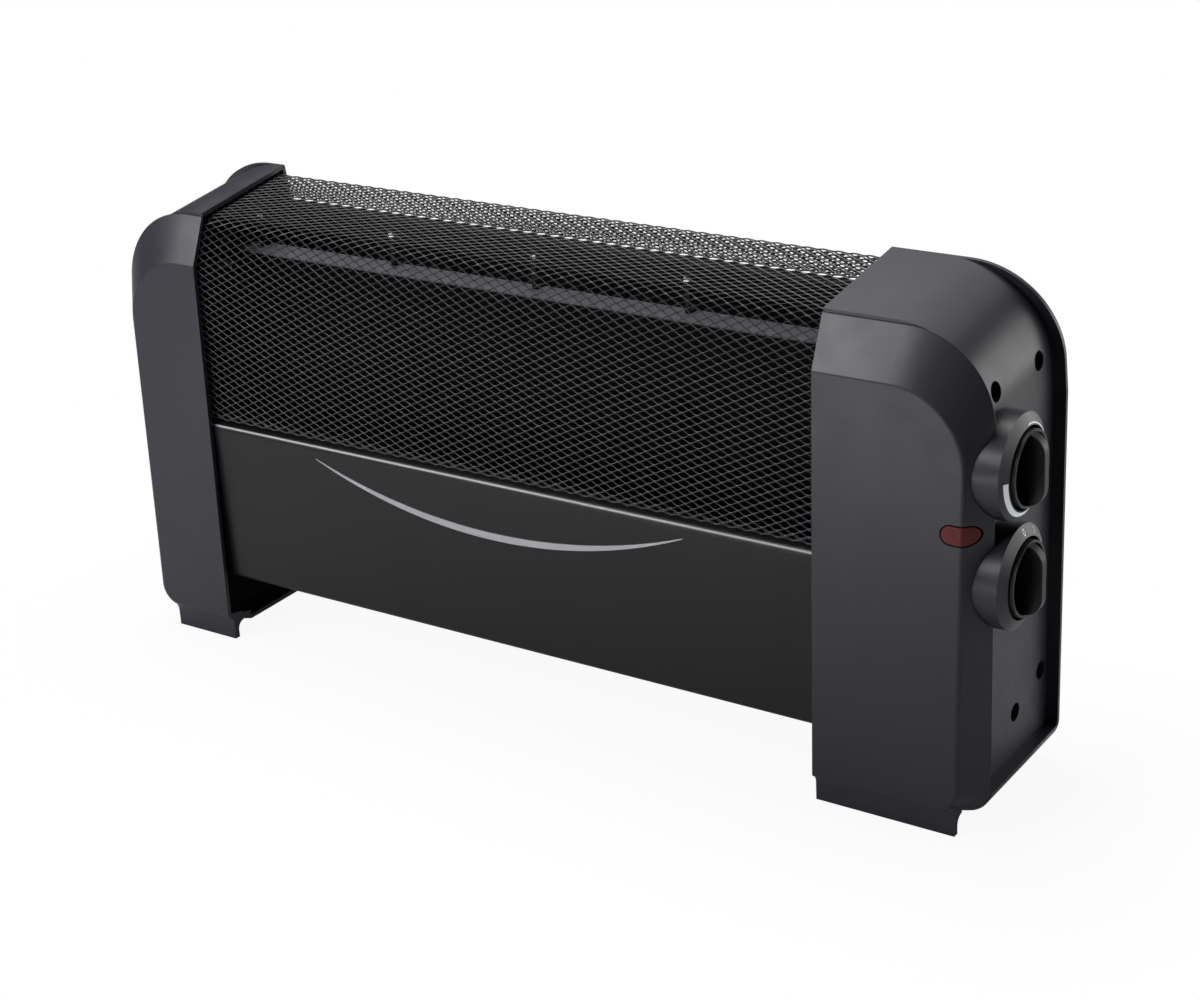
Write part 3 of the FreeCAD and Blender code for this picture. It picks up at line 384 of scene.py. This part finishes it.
def painted_edge_highlight(name, coat, painted_highlight_colour):
    """A copy of a coat with a painted highlight along a rolled upper edge: a narrow band of the normal's
    height picks the lighter colour of the painted highlight."""
    material = coat.copy()
    material.name = name
    tree = material.node_tree
    shader = next(node for node in tree.nodes if node.type == "BSDF_PRINCIPLED")
    tint = shader.inputs["Base Color"].links[0].from_socket
    upward = facing(tree)["Z"]
    band = worked(tree, "MULTIPLY", ranged(tree, upward, 0.0, 1.0, *EDGE_HIGHLIGHT_START),
                 ranged(tree, upward, 1.0, 0.0, *EDGE_HIGHLIGHT_END))
    tree.links.new(between(tree, band, tint, painted_highlight_colour), shader.inputs["Base Color"])
    return material


def clip_glint_finish(name, coat, painted_highlight_colour):
    """Black clip with a painted glint: one bright band across its stem."""
    material, tree, shader = start_material(name)
    height = parts_of(tree, object_points(tree))["Z"]
    low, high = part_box("grille_clips")
    middle = low.z + CLIP_BAND * (high.z - low.z)
    off = worked(tree, "ABSOLUTE", worked(tree, "SUBTRACT", height, middle), 0.0)
    glint = ranged(tree, off, 1.0, 0.0, *CLIP_BLEND)
    clouds = ranged(tree, noise(tree, 0.004, 3.0), 0.0, 1.0)
    black = between(tree, clouds, shaded(coat, 0.9), shaded(coat, 1.1))
    tree.links.new(between(tree, glint, black, painted_highlight_colour), shader.inputs["Base Color"])
    tree.links.new(ranged(tree, noise(tree, 0.003, 3.0), 0.40, 0.60), shader.inputs["Roughness"])
    shader.inputs["Specular IOR Level"].default_value = 0.15
    return material


def dress(names, material):
    """Give CAD nodes one finish."""
    for name in names:
        mesh = NODES[name].data
        mesh.materials.clear()
        mesh.materials.append(material)


# Surfaces


def strip_faces(paths, rings, corners):
    """Quads of many closed profiles carried along paths, vertices ordered path, ring, corner."""
    base = np.arange(paths)[:, None, None] * rings * corners
    ring = base + np.arange(rings - 1)[None, :, None] * corners
    corner = np.arange(corners)[None, None, :]
    after = (corner + 1) % corners
    quads = np.stack([ring + corner, ring + after, ring + corners + after, ring + corners + corner], axis=-1)
    return quads.reshape(-1, 4)


def sheet_faces(rows, columns):
    """Quads of an open grid of rows times columns points."""
    start = np.arange(rows - 1)[:, None] * columns + np.arange(columns - 1)[None, :]
    return np.stack([start, start + 1, start + columns + 1, start + columns], axis=-1).reshape(-1, 4)


def put(name, points, faces, material, body, smooth=False):
    """Make a mesh object from whole arrays of points and quads, and let it ride on a body."""
    points = np.ascontiguousarray(points, dtype=np.float32).reshape(-1, 3)
    faces = np.ascontiguousarray(faces, dtype=np.int32)
    mesh = bpy.data.meshes.new(name)
    mesh.vertices.add(len(points))
    mesh.vertices.foreach_set("co", points.ravel())
    mesh.loops.add(faces.size)
    mesh.loops.foreach_set("vertex_index", faces.ravel())
    mesh.polygons.add(len(faces))
    mesh.polygons.foreach_set("loop_start", np.arange(len(faces), dtype=np.int32) * faces.shape[1])
    mesh.polygons.foreach_set("use_smooth", np.full(len(faces), smooth))
    mesh.update(calc_edges=True)
    if mesh.validate():
        raise RuntimeError(name + " has faulty faces")
    mesh.materials.append(material)
    piece = bpy.data.objects.new(name, mesh)
    bpy.context.scene.collection.objects.link(piece)
    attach(piece, body)
    return piece


def rounded_path(corners, radii, steps):
    """A polyline in (y, z) whose inner corners are arcs: each arc point is the arc's centre plus a
    radius turned evenly from one tangent point to the other."""
    points = [np.array(corners[0])]
    for before, corner, after, radius in zip(corners, corners[1:], corners[2:], radii):
        a, b, c = np.array(before), np.array(corner), np.array(after)
        into, out = (b - a) / np.linalg.norm(b - a), (c - b) / np.linalg.norm(c - b)
        half = math.acos(float(np.clip(into @ out, -1, 1))) / 2
        inward = (out - into) / np.linalg.norm(out - into)
        centre = b + inward * radius / math.cos(half)
        turn = np.linspace(-half, half, steps)[:, None]
        along = (into + out) / np.linalg.norm(into + out)
        points.extend(centre - inward * radius * np.cos(turn) + along * radius * np.sin(turn))
    points.append(np.array(corners[-1]))
    return np.array(points)


def grille_corners(sizes):
    """Corners of the grille's section in (y, z) and the radius at each inner one, set on the box of its
    solid: hem, front, slope, top, rear skirt and its hem."""
    front, low, back, high = GRILLE_LOW.y, GRILLE_LOW.z, GRILLE_HIGH.y, GRILLE_HIGH.z
    crease = low + sizes.front_height
    hem = front + sizes.hem_depth
    corners = [(hem, low + sizes.hem_height), (hem, low), (front, low), (front, crease),
               (front + sizes.bevel_depth, crease + sizes.bevel_rise),
               (back - sizes.skirt_lean, high), (back, high - sizes.skirt_drop)]
    inner = back - sizes.hem_depth
    lean = sizes.skirt_lean * sizes.skirt_hem / sizes.skirt_drop
    corners += [(inner, high - sizes.skirt_drop), (inner - lean, high - sizes.skirt_drop + sizes.skirt_hem)]
    radii = [sizes.hem_radius] * 2 + [sizes.crease_radius, sizes.brow_radius, sizes.skirt_radius]
    return corners, radii + [sizes.hem_radius] * 2


def mesh_strands(section, sizes, left, right):
    """Expanded metal folded along a section: strand j runs along X at v = j s + (-1)^j a w(x) on the
    section's arc length, where s is half the short pitch, a a quarter of it less a part of a strand, and w a
    wave of flat tops and straight flanks with the long pitch. A leaning rectangle is carried along it."""
    path = rounded_path(*section, BEND_STEPS)
    run = np.concatenate([[0.0], np.cumsum(np.linalg.norm(np.diff(path, axis=0), axis=1))])
    step = sizes.short_pitch / 2
    strands = int((run[-1] - 2 * sizes.strand_width) / step)
    first = (run[-1] - (strands - 1) * step) / 2
    amplitude = sizes.short_pitch / 4 - sizes.strand_width * sizes.bond_overlap
    periods = int(math.ceil((right - left) / sizes.long_pitch))
    share = sizes.bond_share / 2
    beats = np.array([-share, share, 0.5 - share, 0.5 + share])
    x = (np.arange(periods)[:, None] + beats[None, :]).ravel() * sizes.long_pitch + left
    x = np.clip(x, left, right)
    wave = np.tile([1.0, 1.0, -1.0, -1.0], periods)
    index = np.arange(strands)[:, None]
    v = first + index * step + np.where(index % 2 == 0, 1.0, -1.0) * amplitude * wave[None, :]
    angle = np.unwrap(np.arctan2(np.diff(path[:, 1]), np.diff(path[:, 0])))
    heading = np.interp(v, (run[1:] + run[:-1]) / 2, angle)
    centre = np.stack([np.broadcast_to(x, v.shape), np.interp(v, run, path[:, 0]),
                       np.interp(v, run, path[:, 1])], axis=-1)
    zero = np.zeros_like(v)
    along = np.stack([zero, np.cos(heading), np.sin(heading)], axis=-1)
    inward = np.stack([zero, np.sin(heading), -np.cos(heading)], axis=-1)
    lean = sizes.strand_tilt
    wide = along * math.cos(lean) + inward * math.sin(lean)
    thick = inward * math.cos(lean) - along * math.sin(lean)
    centre = centre + inward * sizes.sheet_depth
    half_w, half_t = sizes.strand_width / 2, sizes.strand_thickness / 2
    signs = np.array([(-1, -1), (1, -1), (1, 1), (-1, 1)], dtype=float)
    points = (centre[:, :, None, :] + wide[:, :, None, :] * signs[None, None, :, :1] * half_w
              + thick[:, :, None, :] * signs[None, None, :, 1:] * half_t)
    return points, strip_faces(strands, len(x), 4)


def on_bezel(radius, turn, axis, sizes):
    """Points on a bezel's cone: x rises evenly from the outer to the inner radius; the turn is clockwise
    from the top as seen from the control end."""
    share = (sizes.bezel_outer - radius) / (sizes.bezel_outer - sizes.bezel_inner)
    x = axis[0] + sizes.bezel_edge + share * (sizes.bezel_peak - sizes.bezel_edge) + sizes.ink
    return np.stack([x, axis[1] + radius * np.sin(turn), axis[2] + radius * np.cos(turn)], axis=-1)


def scale_points(axis, sizes, sweep):
    """The heat scale: a band from the scale radius outwards whose width grows evenly along its sweep."""
    turn = np.linspace(0.0, sweep, 121)[:, None]
    width = sizes.scale_thin + (sizes.scale_thick - sizes.scale_thin) * turn / sweep
    radius = sizes.scale_radius + width * np.linspace(0.0, 1.0, 4)[None, :]
    return on_bezel(radius, np.broadcast_to(turn, radius.shape), axis, sizes)


def figure_ring(axis, sizes, turn):
    """The figure 0: a ring whose inner and outer outlines are ellipses round one point of the bezel."""
    around = np.linspace(0.0, 2 * math.pi, 41)[:, None]
    share = np.linspace(RING_HOLE, 1.0, 3)[None, :]
    up = sizes.figure_height / 2 * share * np.cos(around)
    across = sizes.figure_height * RING_HALF_WIDTH * share * np.sin(around)
    return on_bezel(sizes.figure_radius + up, turn + across / sizes.figure_radius, axis, sizes)


def figure_bar(axis, sizes, turn, offset):
    """One upright bar of the figures I and II, straight out along the bezel's radius."""
    up = np.linspace(-0.5, 0.5, 7)[:, None] * sizes.figure_height
    across = offset + np.linspace(-0.5, 0.5, 3)[None, :] * sizes.figure_height * BAR_WIDTH
    up, across = np.broadcast_arrays(up, across)
    return on_bezel(sizes.figure_radius + up, turn + across / sizes.figure_radius, axis, sizes)


# Operators


class HEATER_OT_caps(bpy.types.Operator):
    """Satin charcoal finish of the four cap mouldings"""
    bl_idname = "heater.caps"
    bl_label = "End caps"

    def execute(self, context):
        colours = context.scene.heater_finishes
        plastic = finish("cap_charcoal", colours.cap, (0.33, 0.41), spread=0.05, cloud=0.05, fine=0.0007,
                         depth=0.00003, strength=0.12, Specular_IOR_Level=0.32)
        dress(["left_front_shell", "left_rear_shell", "right_front_shell", "right_rear_shell"], plastic)
        return {"FINISHED"}


class HEATER_OT_panels(bpy.types.Operator):
    """Powder coat of the panels with a painted highlight on the front panel's rolled edge, black as painted
    shade on the inner sheets and the baffle, the baffle's painted highlight, clips with a painted glint, and
    plating of bracket and shafts
    """
    bl_idname = "heater.panels"
    bl_label = "Panels and plates"

    def execute(self, context):
        colours = context.scene.heater_finishes
        coat = finish("panel_powder_coat", colours.panel, (0.30, 0.38), spread=0.06, cloud=0.07, fine=0.0016,
                      depth=0.00004, strength=0.10, Specular_IOR_Level=0.25)
        dress(["rear_panel", "base_plate"], coat)
        # front panel: coat with a painted highlight along its rolled top edge
        dress(["front_panel"], painted_edge_highlight("panel_worn_edge", coat, shaded(colours.steel, 0.6)))
        # end plates and cutout: black as painted shade
        painted_shade_black = finish("inner_matt_black", shaded(colours.panel, 0.25), (0.60, 0.72), spread=0.10, cloud=0.03,
                      Specular_IOR_Level=0.02)
        dress(["left_end_plate", "right_end_plate", "thermal_cutout"], painted_shade_black)
        # baffle: black as painted shade, with a painted highlight on its top edge
        base, high = (corner.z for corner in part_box("baffle"))
        dress(["baffle"], upward_painted_highlight_finish("baffle_dusty_black", shaded(colours.panel, 0.25), colours.grille_painted_highlight,
                                      high, 2 * high - base, 0.02))
        # clips: black with a painted glint across each stem
        dress(["grille_clips"], clip_glint_finish("clip_nicked_black", shaded(colours.panel, 0.4),
                                            shaded(colours.steel, 1.7)))
        plating = finish("plate_zinc", colours.steel, (0.30, 0.46), spread=0.12, cloud=0.012, fine=0.0009,
                         Metallic=1.0)
        dress(["control_bracket", "element_hangers", "thermostat_shaft", "selector_shaft"], plating)
        return {"FINISHED"}


class HEATER_OT_accent(bpy.types.Operator):
    """Satin silver of the crescent on the front panel"""
    bl_idname = "heater.accent"
    bl_label = "Accent strip"

    def execute(self, context):
        silver = finish("accent_satin", context.scene.heater_finishes.accent, (0.34, 0.44), spread=0.05,
                        cloud=0.004, fine=0.0004, stretch=(0.15, 1.0, 1.0), Metallic=0.75)
        dress(["accent_strip"], silver)
        return {"FINISHED"}


class HEATER_OT_grille(bpy.types.Operator):
    """Fine expanded-metal grille that stands for the coarse one of the solid"""
    bl_idname = "heater.grille"
    bl_label = "Mesh grille"

    def execute(self, context):
        sizes = context.scene.heater_grille
        colours = context.scene.heater_finishes
        brow = GRILLE_LOW.z + sizes.front_height + sizes.bevel_rise / 2
        # black coat with a painted highlight on the strands' upward faces, thinning towards the top
        coat = upward_painted_highlight_finish("grille_coat", colours.grille, colours.grille_painted_highlight, brow,
                           brow + sizes.bevel_rise / 2, 0.2)
        points, faces = mesh_strands(grille_corners(sizes), sizes, GRILLE_LOW.x, GRILLE_HIGH.x)
        piece = put("fine_grille", points, faces, coat, "heater_body")
        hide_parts("mesh_grille")
        return {"FINISHED"}


class HEATER_OT_knobs(bpy.types.Operator):
    """Charcoal finish of the two knobs with black painted shade in the hollow and on the grip's sides"""
    bl_idname = "heater.knobs"
    bl_label = "Knobs"

    def execute(self, context):
        colours, sizes = context.scene.heater_finishes, context.scene.heater_dials
        for name in ("thermostat", "selector"):
            axis = JOINT[name + "_turn"]["pos_m"]
            low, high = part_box(name + "_knob")
            dress([name + "_knob"], knob_finish(name + "_knob_satin", colours.knob, colours.knob_painted_shade, axis,
                                                (high.z - low.z) / 2, sizes))
        return {"FINISHED"}


class HEATER_OT_marks(bpy.types.Operator):
    """Printed heat scale and figures on the bezels"""
    bl_idname = "heater.marks"
    bl_label = "Dial marks"

    def execute(self, context):
        sizes = context.scene.heater_dials
        ink = finish("dial_ink", context.scene.heater_finishes.mark, (0.45, 0.55), spread=0.03, cloud=0.003,
                     fine=0.0003)
        axis = JOINT["thermostat_turn"]["pos_m"]
        points = scale_points(axis, sizes, math.radians(SCALE_SWEEP))
        put("heat_scale", points, sheet_faces(*points.shape[:2]), ink, "heater_body", True)
        axis = JOINT["selector_turn"]["pos_m"]
        one, two = math.radians(FIGURE_1_TURN), math.radians(FIGURE_2_TURN)
        gap = sizes.figure_height * BAR_OFFSET
        figures = {
            "figure_0": figure_ring(axis, sizes, 0.0),
            "figure_1": figure_bar(axis, sizes, one, 0.0),
            "figure_2_left": figure_bar(axis, sizes, two, -gap),
            "figure_2_right": figure_bar(axis, sizes, two, gap),
        }
        for name, points in figures.items():
            put(name, points, sheet_faces(*points.shape[:2]), ink, "heater_body", True)
        return {"FINISHED"}


class HEATER_OT_lamp(bpy.types.Operator):
    """Red lamp window and the lamp behind it"""
    bl_idname = "heater.lamp"
    bl_label = "Lamp"

    def execute(self, context):
        colours = context.scene.heater_finishes
        dress(["indicator_lens"], finish("lens_dark_red", colours.lens, (0.16, 0.24), spread=0.18,
                                         cloud=0.006, fine=0.0012, Specular_IOR_Level=0.22))
        dress(["indicator_lamp"], finish("lamp_gas_glass", colours.lamp, (0.05, 0.12), spread=0.15,
                                         cloud=0.003, Transmission_Weight=0.6))
        return {"FINISHED"}


class HEATER_OT_element(bpy.types.Operator):
    """Heating element and its bushes"""
    bl_idname = "heater.element"
    bl_label = "Heating element"

    def execute(self, context):
        colours = context.scene.heater_finishes
        dress(["heating_rod"], finish("rod_heat_tint", colours.element, (0.34, 0.50), spread=0.25, cloud=0.02,
                                      Metallic=1.0))
        dress(["element_fins"], finish("mill_aluminium", colours.aluminium, (0.32, 0.44), spread=0.06,
                                       cloud=0.004, stretch=(0.1, 1.0, 1.0), Metallic=1.0))
        dress(["ceramic_bushes"], finish("glazed_ceramic", colours.ceramic, (0.18, 0.28), spread=0.05,
                                         cloud=0.006))
        return {"FINISHED"}


class HEATER_OT_controls(bpy.types.Operator):
    """Control bodies, wiring, gland and screws inside the caps"""
    bl_idname = "heater.controls"
    bl_label = "Controls and fasteners"

    def execute(self, context):
        colours = context.scene.heater_finishes
        dress(["thermostat_body", "selector_switch", "terminal_block", "tilt_switch"],
              finish("control_cream", colours.control, (0.42, 0.54), spread=0.05, cloud=0.008))
        dress(["internal_leads"], finish("lead_insulation", colours.lead, (0.50, 0.62), spread=0.08,
                                         cloud=0.006))
        dress(["cord_gland"], finish("gland_rubber", colours.gland, (0.55, 0.68), spread=0.10, cloud=0.004))
        dress(["control_screws", "left_cap_screws", "right_cap_screws", "panel_screws"],
              finish("screw_zinc", shaded(colours.steel, 0.8), (0.28, 0.42), spread=0.10, cloud=0.003,
                     Metallic=1.0))
        return {"FINISHED"}


class HEATER_OT_stage(bpy.types.Operator):
    """Camera, pale floor, white room and softboxes"""
    bl_idname = "heater.stage"
    bl_label = "Stage"

    def execute(self, context):
        stage = context.scene.heater_stage
        self.place_camera(context.scene, stage.lens)
        self.lay_floor(stage.floor_size)
        self.light_room(context.scene, stage.fill)
        for name, (way, size) in SOFTBOXES.items():
            power = getattr(stage, name + "_power")
            self.softbox(name + "_softbox", STAGE_MIDDLE + Vector(way), STAGE_MIDDLE, size, power)
        below = Vector((WASH_PLACE.x, WASH_PLACE.y, 0.0))
        self.softbox("wash_softbox", WASH_PLACE, below, WASH_SIZE, stage.wash_power, WASH_SPREAD)
        context.scene.view_settings.view_transform = "Standard"
        return {"FINISHED"}

    def place_camera(self, scene, lens):
        """The camera's own axes and place are the columns of its matrix."""
        data = bpy.data.cameras.new("photo_camera")
        data.sensor_fit = "HORIZONTAL"
        data.sensor_width = SENSOR_WIDTH
        data.lens = lens
        data.clip_start = 0.01
        camera = bpy.data.objects.new("photo_camera", data)
        scene.collection.objects.link(camera)
        rows = zip(CAMERA_RIGHT, CAMERA_UP, CAMERA_BACK, CAMERA_PLACE)
        camera.matrix_world = Matrix((*rows, (0.0, 0.0, 0.0, 1.0)))
        scene.camera = camera

    def box_distance(self, tree):
        """Distance on the floor from the heater's box."""
        low, high = CAD_BOX
        off = object_points(tree)
        for operation, value in (("SUBTRACT", ((low[0] + high[0]) / 2, (low[1] + high[1]) / 2, 0.0)),
                                 ("ABSOLUTE", None),
                                 ("SUBTRACT", ((high[0] - low[0]) / 2, (high[1] - low[1]) / 2, 0.0)),
                                 ("MAXIMUM", (0.0, 0.0, 0.0)), ("LENGTH", None)):
            node = tree.nodes.new("ShaderNodeVectorMath")
            node.operation = operation
            tree.links.new(off, node.inputs[0])
            if value is not None:
                node.inputs[1].default_value = value
            off = node.outputs["Value" if operation == "LENGTH" else "Vector"]
        return off

    def floor_white(self):
        """Pale floor, white to the camera and in reflections, that takes the heater's shadow near it: the
        white's share grows with the distance from the heater's box, and reflections see it best at the
        left."""
        material = bpy.data.materials.new("stage_floor_white")
        material.use_nodes = True
        tree = material.node_tree
        tree.nodes.clear()
        output = tree.nodes.new("ShaderNodeOutputMaterial")
        matt = tree.nodes.new("ShaderNodeBsdfDiffuse")
        glow = tree.nodes.new("ShaderNodeEmission")
        mix = tree.nodes.new("ShaderNodeMixShader")
        path = tree.nodes.new("ShaderNodeLightPath")
        matt.inputs["Color"].default_value = FLOOR_GREY
        glow.inputs["Strength"].default_value = 1.0
        seen = worked(tree, "MAXIMUM", path.outputs["Is Camera Ray"], path.outputs["Is Transmission Ray"])
        off = self.box_distance(tree)
        share = worked(tree, "MULTIPLY", seen, ranged(tree, off, *SHADOW_WHITE, *SHADOW_REACH))
        across = parts_of(tree, object_points(tree))["X"]
        pool = worked(tree, "MULTIPLY", ranged(tree, off, *POOL_WHITE, *POOL_REACH),
                     ranged(tree, across, *POOL_FADE, *POOL_FADE_X))
        pool = worked(tree, "MULTIPLY", pool, path.outputs["Is Glossy Ray"])
        tree.links.new(worked(tree, "MAXIMUM", share, pool), mix.inputs["Fac"])
        tree.links.new(matt.outputs["BSDF"], mix.inputs[1])
        tree.links.new(glow.outputs["Emission"], mix.inputs[2])
        tree.links.new(mix.outputs["Shader"], output.inputs["Surface"])
        return material

    def lay_floor(self, size):
        """One flat square round the origin."""
        half = size / 2
        corners = [(-half, -half, 0), (half, -half, 0), (half, half, 0), (-half, half, 0)]
        mesh = bpy.data.meshes.new("stage_floor")
        mesh.from_pydata(corners, [], [(0, 1, 2, 3)])
        mesh.materials.append(self.floor_white())
        floor = bpy.data.objects.new("stage_floor", mesh)
        bpy.context.scene.collection.objects.link(floor)

    def light_room(self, scene, fill):
        """White room to the camera and through glass, partly white in reflections, and dim as a light."""
        world = bpy.data.worlds.new("white_room")
        scene.world = world
        world.use_nodes = True
        tree = world.node_tree
        tree.nodes.clear()
        output = tree.nodes.new("ShaderNodeOutputWorld")
        dim = tree.nodes.new("ShaderNodeBackground")
        white = tree.nodes.new("ShaderNodeBackground")
        mix = tree.nodes.new("ShaderNodeMixShader")
        path = tree.nodes.new("ShaderNodeLightPath")
        seen = worked(tree, "MAXIMUM", path.outputs["Is Camera Ray"], path.outputs["Is Transmission Ray"])
        gloss = worked(tree, "MULTIPLY", path.outputs["Is Glossy Ray"], ROOM_GLOSS)
        dim.inputs["Strength"].default_value = fill
        white.inputs["Color"].default_value = (1.0, 1.0, 1.0, 1.0)
        tree.links.new(worked(tree, "MAXIMUM", seen, gloss), mix.inputs["Fac"])
        tree.links.new(dim.outputs["Background"], mix.inputs[1])
        tree.links.new(white.outputs["Background"], mix.inputs[2])
        tree.links.new(mix.outputs["Shader"], output.inputs["Surface"])

    def softbox(self, name, place, aim, size, power, spread=180):
        """Rectangular lamp that looks at a point, its light held within a spread in degrees."""
        data = bpy.data.lights.new(name, "AREA")
        data.shape = "RECTANGLE"
        data.size, data.size_y = size
        data.energy = power
        data.spread = math.radians(spread)
        lamp = bpy.data.objects.new(name, data)
        bpy.context.scene.collection.objects.link(lamp)
        lamp.location = place
        lamp.rotation_euler = (place - aim).to_track_quat("Z", "Y").to_euler()


class HEATER_PT_looks(bpy.types.Panel):
    """Sizes, colours and steps of the heater's looks"""
    bl_idname = "HEATER_PT_looks"
    bl_label = "Heater"
    bl_space_type = "VIEW_3D"
    bl_region_type = "UI"
    bl_category = "Heater"

    def draw(self, context):
        layout = self.layout
        for step in STEPS:
            layout.operator(step.bl_idname)
        for group in GROUPS:
            box = layout.box()
            settings = getattr(context.scene, group)
            for name in settings.bl_rna.properties.keys():
                if name not in ("rna_type", "name"):
                    box.prop(settings, name)


STEPS = (HEATER_OT_caps, HEATER_OT_panels, HEATER_OT_accent, HEATER_OT_grille, HEATER_OT_knobs,
         HEATER_OT_marks, HEATER_OT_lamp, HEATER_OT_element, HEATER_OT_controls, HEATER_OT_stage)
GROUPS = {"heater_grille": HeaterGrilleSizes, "heater_dials": HeaterDialSizes,
          "heater_finishes": HeaterFinishes, "heater_stage": HeaterStage}


def register():
    """Make the settings, steps and panel known."""
    for kind in (*GROUPS.values(), *STEPS, HEATER_PT_looks):
        bpy.utils.register_class(kind)
    for name, kind in GROUPS.items():
        setattr(bpy.types.Scene, name, PointerProperty(type=kind))


def unregister():
    """Take the settings, steps and panel away again."""
    for name in GROUPS:
        delattr(bpy.types.Scene, name)
    for kind in (HEATER_PT_looks, *reversed(STEPS), *reversed(tuple(GROUPS.values()))):
        bpy.utils.unregister_class(kind)


def main():
    """Run every step in order."""
    register()
    bpy.ops.heater.caps()
    bpy.ops.heater.panels()
    bpy.ops.heater.accent()
    bpy.ops.heater.grille()
    bpy.ops.heater.knobs()
    bpy.ops.heater.marks()
    bpy.ops.heater.lamp()
    bpy.ops.heater.element()
    bpy.ops.heater.controls()
    bpy.ops.heater.stage()


if __name__ == "__main__":
    main()
